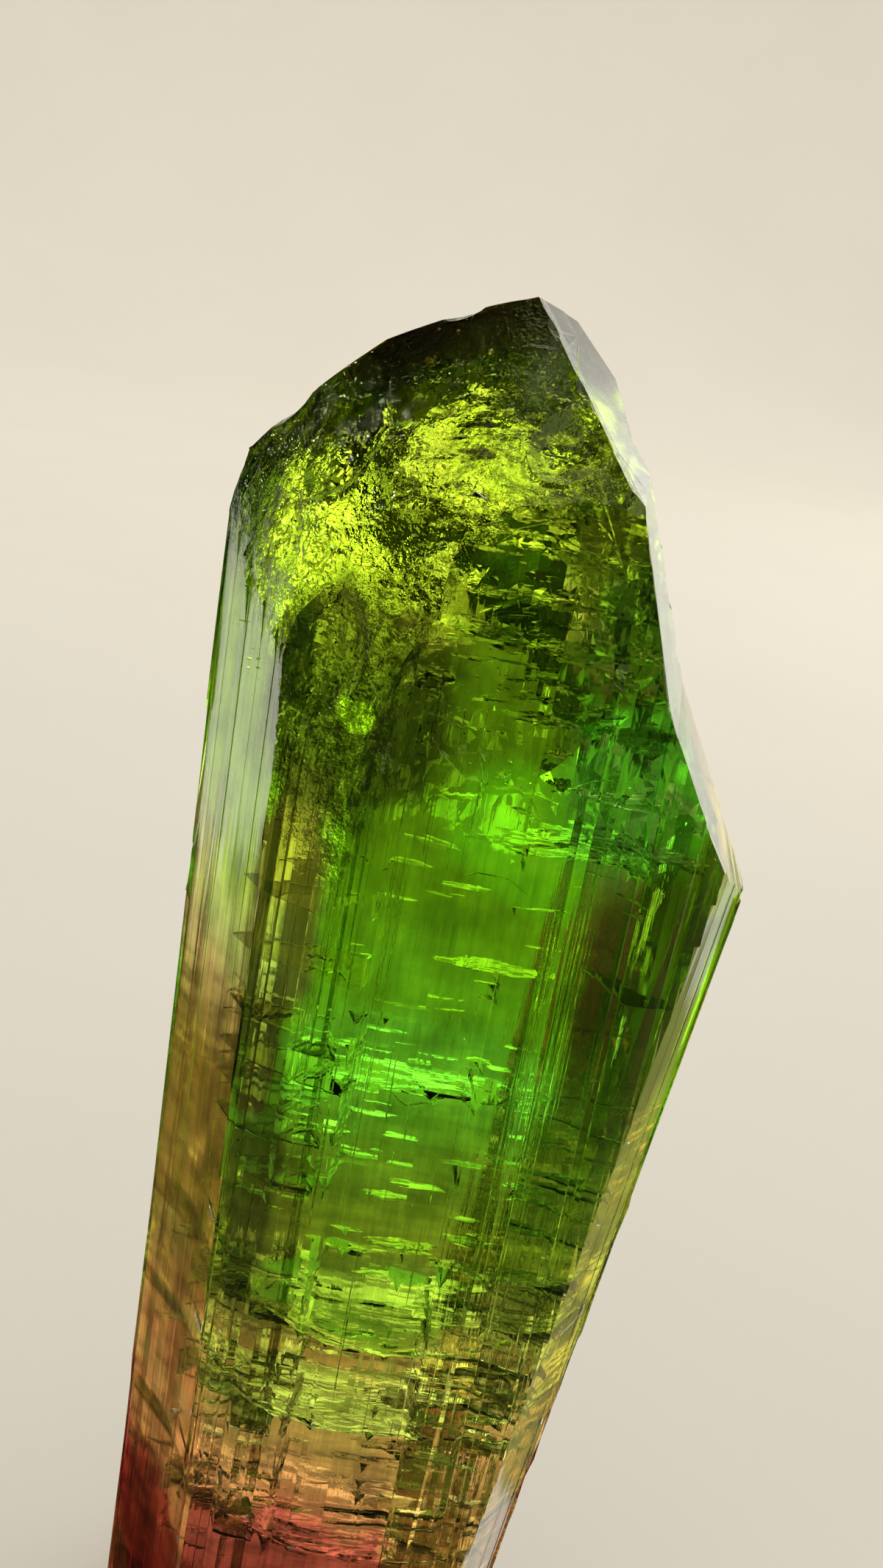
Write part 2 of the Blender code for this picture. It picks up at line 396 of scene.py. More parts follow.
def relief(mesh, tags, rng):
    """Move every point by the mean of the moves that its faces give it."""
    moves = {}
    groups = {}
    for face in mesh.faces:
        groups.setdefault(face[tags], set()).update(face.verts)
    for number, (name, (azimuth, pitch, _)) in enumerate(ALL_FACES.items(), start=1):
        axes = face_axes(azimuth, pitch)
        for vert in sorted(groups.get(number, ()), key=lambda one: tuple(one.co)):
            if vert.co.z < FOOT:
                continue
            if name in LONG_FACES:
                move = long_face_move(vert.co, name, number, axes)
            else:
                move = etched_face_move(vert, tags, name, number, axes, rng)
            moves.setdefault(vert, []).append(move)
    for vert, several in moves.items():
        total = Vector()
        for move in several:
            total += move
        vert.co += total / len(several)


def add_object(name, mesh, material):
    """A new object from a mesh in metres."""
    data = bpy.data.meshes.new(name)
    mesh.to_mesh(data)
    mesh.free()
    data.materials.append(material)
    thing = bpy.data.objects.new(name, data)
    bpy.context.scene.collection.objects.link(thing)
    return thing


def add_piece(name, mesh, material):
    """A new object, from a mesh in millimetres, that rides on the crystal."""
    bmesh.ops.scale(mesh, vec=(MM, MM, MM), verts=mesh.verts[:])
    piece = add_object(name, mesh, material)
    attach(piece, "root")
    return piece


def make_crystal(node):
    """The visible crystal: the solid's mesh with growth lines and etched relief."""
    rng = random.Random(SEED)
    mesh = solid_mesh(node)
    bmesh.ops.dissolve_limit(
        mesh, angle_limit=SAME_PLANE, verts=mesh.verts[:], edges=mesh.edges[:]
    )
    tags = name_faces(mesh)
    slice_surface(mesh, tags, rng)
    relief(mesh, tags, rng)
    bmesh.ops.triangulate(mesh, faces=mesh.faces[:])
    return add_piece("crystal_surface", mesh, tourmaline())


# ---- what is sealed in the crystal ----

# Cracks right across, seen as arcs on the front: height at the middle, middle across, how
# fast each side rises (left, right), how far back they reach, and lean towards the back.
CROSSING_CRACKS = [
    (30.5, 1.8, 0.050, 0.030, 0.80, -0.10),
    (25.1, 0.6, 0.046, 0.006, 0.90, -0.15),
    (16.6, 2.0, 0.040, 0.012, 0.95, -0.14),
]
# Their half-width and the Y of their middles, from that share, the X where every crack stops
# on the left and these stop on the right, the least reach of any crack, the depth at which
# their lean starts, and the arcs' ends, steps, depth and unevenness.
CROSSING_REACH = 15.0
CROSSING_DEPTHS = (2.5, -1.5)
CROSSING_LEFT = -4.6
CROSSING_RIGHT = 5.5
LEAST_LEFT = 0.5
LEAST_REACH = 0.05
FRONT_DEPTH = 9.4
ARC_ENDS = (-8.8, 9.4)
ARC_STEPS = 120
ARC_DEPTH = 0.62
ARC_WAVES = 0.6

# Cracks part of the way across, lying nearly level: middle, half-width and waviness. They
# lean back the more, the lower they lie, and only their rims in front carry threads.
LEVEL_CRACKS = [
    ((3.2, 3.5, 75.2), 5.0, 0.9),
    ((5.5, 2.0, 69.8), 6.0, 0.9),
    ((5.0, 1.0, 72.6), 6.0, 0.7),
    ((7.0, -2.5, 60.0), 5.0, 0.9),
    ((1.6, -3.6, 45.9), 4.6, 0.9),
    ((4.4, -4.0, 53.2), 2.6, 0.5),
    ((2.4, -6.2, 36.6), 1.8, 0.6),
    ((9.2, -3.8, 60.8), 4.0, 0.8),
    ((9.6, -4.4, 63.4), 2.8, 0.7),
    ((6.0, -3.0, 77.0), 3.0, 0.8),
    ((7.5, -4.0, 35.0), 3.2, 0.6),
    ((8.0, -2.5, 31.5), 4.0, 0.6),
]
LEVEL_LEAN = (0.06, 0.05)
LEAN_BACK = 0.0024
LEAN_TOP = 92.0
LEVEL_EDGE_BACK = -1.0

# Small cracks: how many, how far across, heights, depths, half-widths, steepest lean
# (degrees), and how far all of them lean back.
SMALL_CRACKS = {
    "small_cracks_low": [
        (190, (-9.0, 12.0), (20.0, 50.0), (0.5, 9.5), (0.3, 1.5), 5.0, 0.13),
        (60, (-9.0, 12.0), (4.0, 24.0), (0.5, 9.5), (0.4, 1.8), 12.0, 0.19),
    ],
    "small_cracks_top": [
        (70, (-1.0, 7.5), (67.0, 77.0), (0.5, 8.0), (0.4, 1.4), 13.0, 0.04),
        (50, (-2.0, 12.0), (59.0, 75.0), (0.5, 7.5), (0.4, 1.5), 26.0, 0.06),
        (30, (-8.0, 12.0), (48.0, 60.0), (0.4, 9.5), (0.3, 1.2), 8.0, 0.10),
        (110, (-6.5, 3.5), (76.0, 83.5), (0.3, 3.5), (0.25, 1.1), 16.0, 0.24),
    ],
}
# The root of the least share of those depths, the unevenness, and how many small cracks carry
# a thread, over how many points.
SHALLOWEST = 0.3
SMALL_WAVES = 0.35
THREADED_SHARE = 0.35
THREADED_POINTS = (5, 12)

# Every crack: how thin it is, how far it stays under the surface, where a line from outside
# the front starts, when it counts as nearly level, its unevenness (width and depth), how
# ragged its rim is (rate and depth), and its points round and rings outwards.
CRACK_THICKNESS = 0.05
SMALL_THICKNESS = 0.03
SKIN = 0.28
OUTSIDE = -60.0
NEARLY_LEVEL = 0.5
CRACK_WAVES = ((5.5, 0.34), (1.5, 0.12), (0.5, 0.02))
RIM_WAVES = ((1.6, 0.45), (6.0, 0.16))
WAVE_PLACES = 90
CROSSING_DETAIL = (120, 26)
LEVEL_DETAIL = (72, 16)
SMALL_DETAIL = (26, 6)
CREAM_DETAIL = (40, 8)

# Bright threads along the cracks' front edges: half-widths, flatness, sides, the least points
# for a thread, and the points in one length of it and in the gap after it.
ARC_THREADS = (0.20, 0.50)
LEVEL_THREADS = (0.08, 0.35)
SMALL_THREADS = (0.05, 0.20)
RIBBON_FLATNESS = 0.12
RIBBON_SIDES = 4
LEAST_POINTS = 3
THREAD_POINTS = (4, 14)
THREAD_GAPS = (0, 4)

# Cream patches of frosted veil: middle, half-width, lean (degrees).
CREAM_PATCHES = [
    ((4.1, -5.5, 26.6), 1.6, 2.0),
    ((9.2, -4.6, 27.4), 1.0, 3.0),
    ((6.3, -5.2, 23.0), 1.1, -2.0),
    ((3.0, -6.0, 34.6), 1.2, 1.0),
    ((-0.5, -6.6, 36.0), 1.0, 2.0),
]
CREAM_SIDE_LEAN = 0.1
CREAM_WAVES = 0.5
CREAM_THICKNESS = 0.08

# Bundles of growth tubes just under the front: across, up, length and how many.
TUBE_BUNDLES = [
    ((6.6, 9.2), (40.0, 56.0), (6.0, 16.0), 60),
    ((-6.6, -2.6), (36.0, 61.0), (6.0, 20.0), 46),
    ((-1.9, -0.9), (37.0, 58.0), (10.0, 20.0), 16),
    ((-3.7, 2.2), (58.0, 66.0), (2.0, 6.0), 30),
    ((0.0, 11.0), (20.0, 50.0), (3.0, 10.0), 40),
]
TUBE_RADII = (0.018, 0.05)
TUBE_DEPTHS = (0.15, 1.4)
TUBE_STEP = 1.5
TUBE_STEPS_LEAST = 4
TUBE_OVERRUN = 2.0
TUBE_SIDES = 6

# Curved edges of chips and flakes under the front: corners (across, height).
CURVED_EDGES = [
    [(-1.6, 71.4), (-0.6, 71.1), (0.5, 71.3), (0.4, 72.8), (0.3, 74.1), (1.0, 74.8), (1.9, 75.0)],
    [(-1.1, 78.2), (-0.3, 77.9), (0.6, 78.1)],
    [(0.6, 75.6), (1.4, 76.6), (2.8, 77.2), (4.4, 77.0)],
    [(2.4, 72.6), (3.2, 73.4), (4.6, 73.6), (5.8, 72.9), (6.4, 71.6)],
    [(-4.6, 61.0), (-4.2, 63.0), (-3.6, 65.4), (-3.2, 68.0), (-2.4, 69.6)],
    [(-2.6, 62.2), (-2.2, 64.0), (-1.9, 66.2)],
    [(-0.9, 60.6), (-0.4, 62.6), (0.5, 64.6)],
    [(1.8, 61.4), (2.0, 63.6), (1.6, 65.8)],
    [(3.4, 66.8), (4.2, 68.6), (5.6, 69.4), (6.8, 69.0)],
    [(6.2, 64.2), (7.4, 65.0), (8.8, 65.1)],
    [(1.2, 58.6), (2.6, 59.2), (4.2, 59.1), (5.6, 58.3)],
    [(0.2, 46.4), (1.2, 45.7), (2.4, 46.1), (3.0, 47.0)],
]
EDGE_RADII = (0.035, 0.07)
EDGE_DEPTHS = (0.25, 0.5)
EDGE_STEP = 0.3
EDGE_STEPS_LEAST = 2
EDGE_WANDER = 0.12
EDGE_WANDER_RATE = 1.7
EDGE_WANDER_LAYER = 3.0

# Bright grains under the etched top: how many, where (across, heights, depths), how they
# gather, and their size, lean, corners and thickness.
FLAKES = 700
FLAKE_ACROSS = (-13.0, 8.0)
FLAKE_HEIGHTS = (64.0, 85.0)
FLAKE_DEPTHS = (0.35, 0.8)
FLAKE_GATHERING = 0.35
FLAKE_CHANCES = (-0.35, 0.25)
FLAKE_CLOUD = Vector((5.0, 5.0, 5.0))
FLAKE_SIZES = (0.06, 0.22)
FLAKE_LEAN = 0.4
FLAKE_CORNERS = (3, 4, 4, 5)
FLAKE_QUARTERS = 4
FLAKE_TURNS = (0.9, 1.1)
FLAKE_REACH = (0.6, 1.0)
FLAKE_THICKNESS = 0.18


class Inside:
    """The crystal's solid, for keeping what is sealed in it under its surface."""

    def __init__(self, node):
        mesh = solid_mesh(node)
        bmesh.ops.triangulate(mesh, faces=mesh.faces[:])
        self.tree = BVHTree.FromBMesh(mesh)
        mesh.free()

    def reach(self, start, direction):
        """How far it is from a point inside to the surface."""
        place, _, _, distance = self.tree.ray_cast(start, direction)
        return distance if place else 0.0

    def front(self, across, height, depth):
        """The point at a depth under the front surface."""
        start = Vector((across, OUTSIDE, height))
        place, normal, _, _ = self.tree.ray_cast(start, Vector((0.0, 1.0, 0.0)))
        return place - normal * depth if place else None

    def holds(self, place):
        """Whether a point is well inside."""
        near, normal, _, distance = self.tree.find_nearest(place)
        return (place - near).dot(normal) < 0.0 and distance > SKIN

    def pull_in(self, ring):
        """Bring any point of a ring that is outside or too near the surface back under it."""
        for number, place in enumerate(ring):
            near, outward, _, _ = self.tree.find_nearest(place)
            if (near - place).dot(outward) < SKIN:
                ring[number] = near - outward * SKIN


def ring_point(first, second, step, steps):
    """A point on a ring of so many steps, that starts along the first direction."""
    angle = math.tau * step / steps
    return first * math.cos(angle) + second * math.sin(angle)


def waves(place, amount):
    """The unevenness of a crack at one place."""
    height = 0.0
    for width, depth in CRACK_WAVES:
        height += depth * noise.noise(place / width)
    return height * amount


def add_gap(mesh, rows, thickness):
    """A closed lens-like gap, inside out, over rings of points round a middle."""
    middle, rings, normal = rows
    half = normal * (thickness / 2)
    sides = []
    for sign in (1.0, -1.0):
        top = mesh.verts.new(middle + half * sign)
        layers = []
        for number, ring in enumerate(rings[:-1], start=1):
            thin = 1.0 - (number / len(rings)) ** 2
            layers.append([mesh.verts.new(point + half * (sign * thin)) for point in ring])
        sides.append((top, layers))
    rim = [mesh.verts.new(point) for point in rings[-1]]
    for (top, layers), turned in zip(sides, (True, False)):
        layers = [*layers, rim]
        for at in range(len(rim)):
            after = (at + 1) % len(rim)
            corners = [(top, layers[0][at], layers[0][after])]
            for inner, outer in zip(layers, layers[1:]):
                corners.append((inner[at], outer[at], outer[after], inner[after]))
            for corner in corners:
                mesh.faces.new(corner[::-1] if turned else corner)


def crack_rings(inside, centre, normal, radius, rng, detail, waviness, rise=None):
    """Middle, rings of points and normal of one crack, kept inside the crystal."""
    across = normal.orthogonal().normalized()
    if abs(normal.z) > NEARLY_LEVEL:
        across = Vector((1.0, 0.0, 0.0)) - normal * normal.x
        across.normalize()
    along = normal.cross(across)
    segments, count = detail
    offset = Vector([rng.uniform(0, WAVE_PLACES) for _ in range(3)])

    def lifted(place):
        return place + normal * (waves(place + offset, waviness) + (rise(place) if rise else 0.0))

    rings = [[] for _ in range(count)]
    for step in range(segments):
        direction = ring_point(across, along, step, segments)
        ragged = 1.0
        for rate, depth in RIM_WAVES:
            ragged += depth * noise.noise(direction * rate + offset)
        far = min(radius * ragged, inside.reach(centre, direction) - SKIN)
        if direction.x < 0.0:
            far = min(far, max(centre.x - CROSSING_LEFT, LEAST_LEFT) / -direction.x)
        elif rise and direction.x > 0.0:
            far = min(far, (CROSSING_RIGHT - centre.x) / direction.x)
        far = max(far, LEAST_REACH)
        for number, ring in enumerate(rings, start=1):
            ring.append(lifted(centre + direction * (far * number / count)))
    for ring in rings:
        inside.pull_in(ring)
    return lifted(centre), rings, normal


def side_rise(row, across):
    """How far a crossing crack has risen at one distance across."""
    _, middle, left, right, _, _ = row
    side = across - middle
    return (left if side < 0.0 else right) * side * side


def crossing_crack(inside, row, rng):
    """One crack right across the crystal, dished upwards to the sides."""
    height, middle, _, _, share, lean = row
    deep, start = CROSSING_DEPTHS
    centre = Vector((middle, deep * share + start, height))

    def rise(place):
        return side_rise(row, place.x) + lean * (place.y + FRONT_DEPTH)

    reach = CROSSING_REACH * share
    return crack_rings(inside, centre, UP.copy(), reach, rng, CROSSING_DETAIL, 1.0, rise)


def crack_arc(inside, row):
    """The line along which a crossing crack meets the front, a little under the surface."""
    points = []
    start, end = ARC_ENDS
    for step in range(ARC_STEPS + 1):
        across = start + (end - start) * step / ARC_STEPS
        place = Vector((across, 0.0, row[0] + side_rise(row, across)))
        place.z += waves(place, ARC_WAVES)
        point = inside.front(place.x, place.z, ARC_DEPTH)
        if point is not None:
            points.append(point)
    return points


def small_crack(inside, kind, rng):
    """One small crack somewhere in the front half of the crystal, or None."""
    _, across, heights, depths, sizes, lean, back = kind
    deep = rng.uniform(SHALLOWEST, 1.0) ** 2
    depth = depths[0] + (depths[1] - depths[0]) * deep
    centre = inside.front(rng.uniform(*across), rng.uniform(*heights), depth)
    if centre is None or not inside.holds(centre):
        return None
    tilt = math.radians(rng.uniform(-lean, lean))
    turn = rng.uniform(0.0, math.tau)
    level = math.sin(tilt)
    normal = Vector((level * math.cos(turn), level * math.sin(turn), math.cos(tilt)))
    normal = (normal + Vector((0.0, back, 0.0))).normalized()
    return crack_rings(inside, centre, normal, rng.uniform(*sizes), rng, SMALL_DETAIL, SMALL_WAVES)


def level_crack(inside, row, rng):
    """One larger crack that lies nearly level."""
    middle, radius, waviness = row
    sideways, forwards = LEVEL_LEAN
    lean = (rng.uniform(-sideways, sideways), rng.uniform(-forwards, forwards))
    normal = Vector((*lean, 1.0))
    normal.y += LEAN_BACK * (LEAN_TOP - middle[2])
    normal.normalize()
    return crack_rings(inside, Vector(middle), normal, radius, rng, LEVEL_DETAIL, waviness)


def make_cracks(inside):
    """Healed cracks as thin air gaps, and the bright threads along their front edges."""
    rng = random.Random(SEED + 1)
    gaps = bmesh.new()
    threads = bmesh.new()
    for row in CROSSING_CRACKS:
        add_gap(gaps, crossing_crack(inside, row, rng), CRACK_THICKNESS)
        add_broken_thread(threads, crack_arc(inside, row), ARC_THREADS, rng)
    for row in LEVEL_CRACKS:
        rows = level_crack(inside, row, rng)
        add_gap(gaps, rows, CRACK_THICKNESS)
        rim = rows[1][-1]
        edge = [point for point in rim if point.y < LEVEL_EDGE_BACK and point.x < ARC_ENDS[1]]
        add_broken_thread(threads, sorted(edge, key=lambda one: one.x), LEVEL_THREADS, rng)
    add_piece("healed_cracks", gaps, crack_gap())
    for name, kinds in SMALL_CRACKS.items():
        gaps = bmesh.new()
        for kind in kinds:
            for _ in range(kind[0]):
                add_small_crack(gaps, threads, small_crack(inside, kind, rng), rng)
        add_piece(name, gaps, crack_gap())
    add_piece("crack_edges", threads, crack_gap())


def add_small_crack(gaps, threads, rows, rng):
    """One small crack's gap and, on some, a thread along part of its rim."""
    if rows is None:
        return
    add_gap(gaps, rows, SMALL_THICKNESS)
    if rng.random() < THREADED_SHARE:
        rim = rows[1][-1]
        start = rng.randrange(len(rim))
        count = rng.randrange(*THREADED_POINTS)
        part = [rim[(start + at) % len(rim)] for at in range(count)]
        add_broken_thread(threads, part, SMALL_THREADS, rng)


def add_thread(mesh, points, radius, flat=1.0, sides=TUBE_SIDES):
    """A thin gap along a line of points, pointed at both ends; a flat one is a level ribbon."""
    if len(points) < LEAST_POINTS:
        return
    rings = []
    for number, point in enumerate(points[1:-1], start=1):
        way = (points[number + 1] - points[number - 1]).normalized()
        first = way.orthogonal().normalized() if flat == 1.0 else way.cross(UP).normalized()
        second = way.cross(first) * flat
        thick = radius * math.sin(math.pi * number / (len(points) - 1)) ** 0.5
        offsets = [ring_point(first, second, at, sides) * thick for at in range(sides)]
        rings.append([mesh.verts.new(point + offset) for offset in offsets])
    start = mesh.verts.new(points[0])
    end = mesh.verts.new(points[-1])
    for at in range(sides):
        after = (at + 1) % sides
        corners = [(start, rings[0][after], rings[0][at]), (end, rings[-1][at], rings[-1][after])]
        for low, high in zip(rings, rings[1:]):
            corners.append((low[at], low[after], high[after], high[at]))
        for corner in corners:
            mesh.faces.new(corner[::-1])


def add_broken_thread(mesh, points, radii, rng):
    """A thread in several lengths with gaps between them."""
    at = 0
    while at < len(points) - LEAST_POINTS:
        count = rng.randrange(*THREAD_POINTS)
        length = points[at : at + count]
        add_thread(mesh, length, rng.uniform(*radii), RIBBON_FLATNESS, RIBBON_SIDES)
        at += count + rng.randrange(*THREAD_GAPS)


def add_front_line(mesh, inside, places, depth, radius):
    """A hair-thin hollow along a line of (across, height) places, at a depth under the front."""
    points = []
    for across, height in places:
        point = inside.front(across, height, depth)
        if point is not None and inside.holds(point):
            points.append(point)
    add_thread(mesh, points, radius)


def curved_line(corners):
    """Close places along a line through (across, height) corners, with a slight wander."""
    for (x, z), (next_x, next_z) in zip(corners, corners[1:]):
        length = math.hypot(next_x - x, next_z - z)
        steps = max(EDGE_STEPS_LEAST, round(length / EDGE_STEP))
        for step in range(steps):
            share = step / steps
            across = x + (next_x - x) * share
            height = z + (next_z - z) * share
            spot = Vector((across, height, EDGE_WANDER_LAYER)) * EDGE_WANDER_RATE
            wander = noise.noise(spot)
            yield across + EDGE_WANDER * wander, height


def make_tubes(inside):
    """Growth tubes and curved edges: hair-thin hollows just under the crystal's front."""
    rng = random.Random(SEED + 2)
    mesh = bmesh.new()
    for corners in CURVED_EDGES:
        depth = rng.uniform(*EDGE_DEPTHS)
        add_front_line(mesh, inside, curved_line(corners), depth, rng.uniform(*EDGE_RADII))
    for across, heights, lengths, count in TUBE_BUNDLES:
        for _ in range(count):
            place = rng.uniform(*across)
            low = rng.uniform(*heights)
            high = min(low + rng.uniform(*lengths), heights[1] + TUBE_OVERRUN)
            depth = rng.uniform(*TUBE_DEPTHS)
            steps = max(TUBE_STEPS_LEAST, round((high - low) / TUBE_STEP))
            places = [(place, low + (high - low) * step / steps) for step in range(steps + 1)]
            add_front_line(mesh, inside, places, depth, rng.uniform(*TUBE_RADII))
    add_piece("growth_tubes", mesh, crack_gap())


def make_cream(inside):
    """Cream fluid-filled patches low in the crystal."""
    rng = random.Random(SEED + 3)
    mesh = bmesh.new()
    for middle, radius, lean in CREAM_PATCHES:
        tilt = math.radians(lean)
        normal = Vector((CREAM_SIDE_LEAN, -math.sin(tilt), math.cos(tilt))).normalized()
        place = Vector(middle)
        rows = crack_rings(inside, place, normal, radius, rng, CREAM_DETAIL, CREAM_WAVES)
        add_gap(mesh, rows, CREAM_THICKNESS)
    add_piece("cream_veils", mesh, frosted_gap())


def make_flakes(inside):
    """Bright grains just under the etched top."""
    rng = random.Random(SEED + 4)
    mesh = bmesh.new()
    made = 0
    while made < FLAKES:
        place = inside.front(rng.uniform(*FLAKE_ACROSS), rng.uniform(*FLAKE_HEIGHTS), 0.0)
        if place is None:
            continue
        _, outward, _, _ = inside.tree.find_nearest(place)
        gathering = noise.noise(place * FLAKE_GATHERING + FLAKE_CLOUD)
        if gathering >= rng.uniform(*FLAKE_CHANCES):
            add_flake(mesh, place, outward, rng)
            made += 1
    add_piece("etched_grains", mesh, crack_gap())


def add_flake(mesh, place, outward, rng):
    """A thin closed plate with a few corners, nearly level, under one place on the surface."""
    lean = (rng.uniform(-FLAKE_LEAN, FLAKE_LEAN), rng.uniform(-FLAKE_LEAN, FLAKE_LEAN))
    facing = Vector((*lean, 1.0)).normalized()
    right = facing.orthogonal().normalized()
    upward = facing.cross(right)
    size = rng.uniform(*FLAKE_SIZES)
    centre = place - outward * rng.uniform(*FLAKE_DEPTHS)
    corners = []
    for step in range(rng.choice(FLAKE_CORNERS)):
        angle = rng.uniform(*FLAKE_TURNS) * math.tau * step / FLAKE_QUARTERS
        far = size * rng.uniform(*FLAKE_REACH)
        corners.append(centre + (right * math.cos(angle) + upward * math.sin(angle)) * far)
    half = right.cross(upward) * (FLAKE_THICKNESS * size)
    top = [mesh.verts.new(corner + half) for corner in corners]
    low = [mesh.verts.new(corner - half) for corner in corners]
    mesh.faces.new(top[::-1])
    mesh.faces.new(low)
    for at in range(len(corners)):
        after = (at + 1) % len(corners)
        mesh.faces.new((top[at], top[after], low[after], low[at]))


# ---- materials ----

# Colour zones up the crystal, seen through the front, the left and the right: height and colour.
FRONT_ZONES = [
    (0.0, (0.13, 0.003, 0.014)),
    (9.0, (0.13, 0.006, 0.015)),
    (14.0, (0.15, 0.009, 0.019)),
    (18.5, (0.27, 0.030, 0.052)),
    (22.0, (0.42, 0.27, 0.15)),
    (25.5, (0.37, 0.44, 0.11)),
    (30.0, (0.35, 0.36, 0.065)),
    (34.0, (0.21, 0.27, 0.035)),
    (38.0, (0.19, 0.36, 0.016)),
    (46.0, (0.16, 0.60, 0.04)),
    (51.0, (0.19, 0.50, 0.008)),
    (58.0, (0.14, 0.34, 0.008)),
    (66.0, (0.12, 0.24, 0.006)),
    (74.0, (0.18, 0.32, 0.010)),
    (80.0, (0.34, 0.46, 0.02)),
    (84.0, (0.18, 0.20, 0.02)),
    (87.0, (0.08, 0.065, 0.02)),
]
# The left face's pale, whitish zones from about 54 mm up are partly its own colour, partly painted
# sheen.
LEFT_ZONES = [
    (0.0, (0.35, 0.01, 0.02)),
    (8.0, (0.60, 0.10, 0.06)),
    (15.0, (1.0, 0.50, 0.24)),
    (36.0, (0.85, 0.26, 0.10)),
    (44.0, (0.62, 0.12, 0.13)),
    (49.0, (0.70, 0.10, 0.50)),
    (54.0, (0.86, 0.30, 1.0)),
    (60.0, (0.92, 0.92, 0.65)),
    (72.0, (0.90, 1.0, 0.55)),
]
RIGHT_ZONES = [
    (0.0, (0.45, 0.10, 0.08)),
    (10.0, (0.75, 0.45, 0.16)),
    (24.0, (0.66, 0.60, 0.07)),
    (40.0, (0.75, 0.66, 0.10)),
    (52.0, (0.90, 0.80, 0.10)),
    (62.0, (0.85, 0.75, 0.09)),
    (72.0, (0.45, 0.40, 0.11)),
    (86.0, (0.44, 0.37, 0.14)),
]
ZONE_TOP = 90.0
ZONE_WANDER = 9.0
# How far off their direction (degrees) faces still take the left or right zones, and the faces
# that take the right ones: azimuth, pitch and a point on each.
LEFT_FACE_SPREAD = 28.0
RIGHT_FACE_SPREAD = 26.0
RIGHT_END_FACES = [
    (-66.0, -6.2, (16.9, -2.2, 58.0)),
    (-72.5, 47.2, (4.9, -4.8, 81.8)),
    (-82.1, 18.1, (11.4, -5.2, 67.3)),
    (-83.3, 28.3, (12.0, -5.0, 66.8)),
]

# Patches on that: middle, radii, colour and strength. The marked ones are painted light and shade.
COLOUR_AND_PAINTED_LIGHT_PATCHES = [
    # Painted light: lifts the top front face, which the light through the crystal leaves too dark.
    ((0.0, -6.5, 79.5), (6.5, 4.0, 4.0), (0.75, 0.86, 0.05), 0.85),
    # Painted glow: the bright yellow hollow in the etched end.
    ((-6.8, -6.2, 74.6), (4.8, 5.0, 4.4), (1.0, 0.90, 0.12), 1.0),
    ((7.0, -7.5, 78.0), (2.2, 4.0, 5.5), (0.24, 0.25, 0.02), 0.8),
    # Painted light: a bright green zone on the front.
    ((8.5, -9.2, 62.4), (2.6, 4.0, 2.4), (0.50, 1.0, 0.05), 0.9),
    ((-6.9, -8.3, 54.5), (1.5, 2.6, 6.0), (0.14, 0.035, 0.05), 0.93),
    ((-4.6, -9.2, 33.5), (1.2, 3.0, 6.5), (0.08, 0.08, 0.010), 0.85),
    ((0.0, 12.0, 79.5), (13.0, 5.0, 7.0), (0.50, 0.85, 0.03), 1.0),
    # Painted shade: the dark brown zone under the glow.
    ((-5.3, -8.5, 66.6), (3.9, 3.6, 4.3), (0.014, 0.011, 0.003), 0.96),
    ((-4.8, -9.0, 66.0), (0.6, 3.0, 0.55), (0.40, 0.60, 0.02), 0.85),
    ((-13.2, 1.5, 74.5), (1.7, 4.0, 3.4), (0.03, 0.04, 0.01), 0.9),
    ((-12.0, 2.5, 78.5), (2.2, 3.5, 2.2), (0.05, 0.05, 0.01), 0.85),
    # Painted shade: the dark zone on the right under the top.
    ((8.6, -9.2, 70.6), (2.3, 4.0, 4.0), (0.02, 0.12, 0.01), 0.8),
    # Painted light: a bright green zone on the front.
    ((6.2, -9.2, 61.8), (3.8, 5.0, 2.6), (0.20, 1.0, 0.02), 0.85),
    # Painted light: a bright teal zone on the right.
    ((10.0, -8.6, 64.4), (2.8, 4.0, 3.0), (0.10, 0.90, 0.16), 0.85),
    # Painted light: a bright teal zone lower on the front.
    ((1.4, -9.2, 47.2), (5.5, 5.0, 2.4), (0.20, 0.90, 0.10), 0.6),
    ((-6.2, -8.4, 40.5), (1.0, 3.0, 6.5), (0.012, 0.012, 0.003), 0.93),
    ((12.4, -7.0, 53.0), (2.8, 5.0, 6.0), (0.025, 0.03, 0.005), 0.9),
    ((0.0, 13.0, 9.0), (13.0, 8.0, 9.0), (0.45, 0.14, 0.09), 0.9),
    ((-10.5, -4.0, 10.5), (3.6, 6.0, 4.0), (0.34, 0.0004, 0.01), 0.95),
    # Painted light: lifts the lower right, which the light through the crystal leaves too dark.
    ((8.0, -8.6, 25.0), (2.6, 3.0, 6.5), (1.0, 0.95, 0.30), 0.85),
    ((1.8, -9.2, 34.2), (3.6, 4.0, 1.7), (0.16, 0.36, 0.03), 0.7),
    ((-6.1, 0.2, 82.9), (0.8, 1.0, 0.7), (0.004, 0.003, 0.001), 0.95),
    ((-7.2, -8.2, 47.0), (0.9, 2.0, 3.4), (0.03, 0.012, 0.01), 0.9),
]
# How ragged a patch's edge is, and how far out, in its radii, it ends and is full.
PATCH_RAGGED = 1.1
PATCH_EDGE = (1.85, 1.15)

# The brow: colour, strength, how ragged and how soft its lower edge is, and how deep it goes.
BROW_COLOUR = (0.20, 0.07, 0.012)
BROW_STRENGTH = 0.92
BROW_RAGGED = 1.6
BROW_EDGE = 0.35
BROW_DEPTH = 0.9

# How deep a face's mask reaches, the share of that where it is full, and how sharply it keeps
# to the face's direction; rougher faces need it deeper.
MASK_DEPTH = 0.55
MASK_FADE = 0.6
MASK_TURN = 0.03
ETCHED_DEPTH = 0.7
TOP_DEPTH = 1.0
# Where the painted sparkle fades towards the glow, in shares of its reach, and how much of it is
# left in the glow.
GLOW_EDGE = (0.7, 1.5)
GLOW_PAINTED_SPARKLE = 0.3
# Heights where the level bands and the back's waves start, going down, and are full.
BANDS_FADE = (54.0, 34.0)
BACK_WAVES_FADE = (50.0, 40.0)

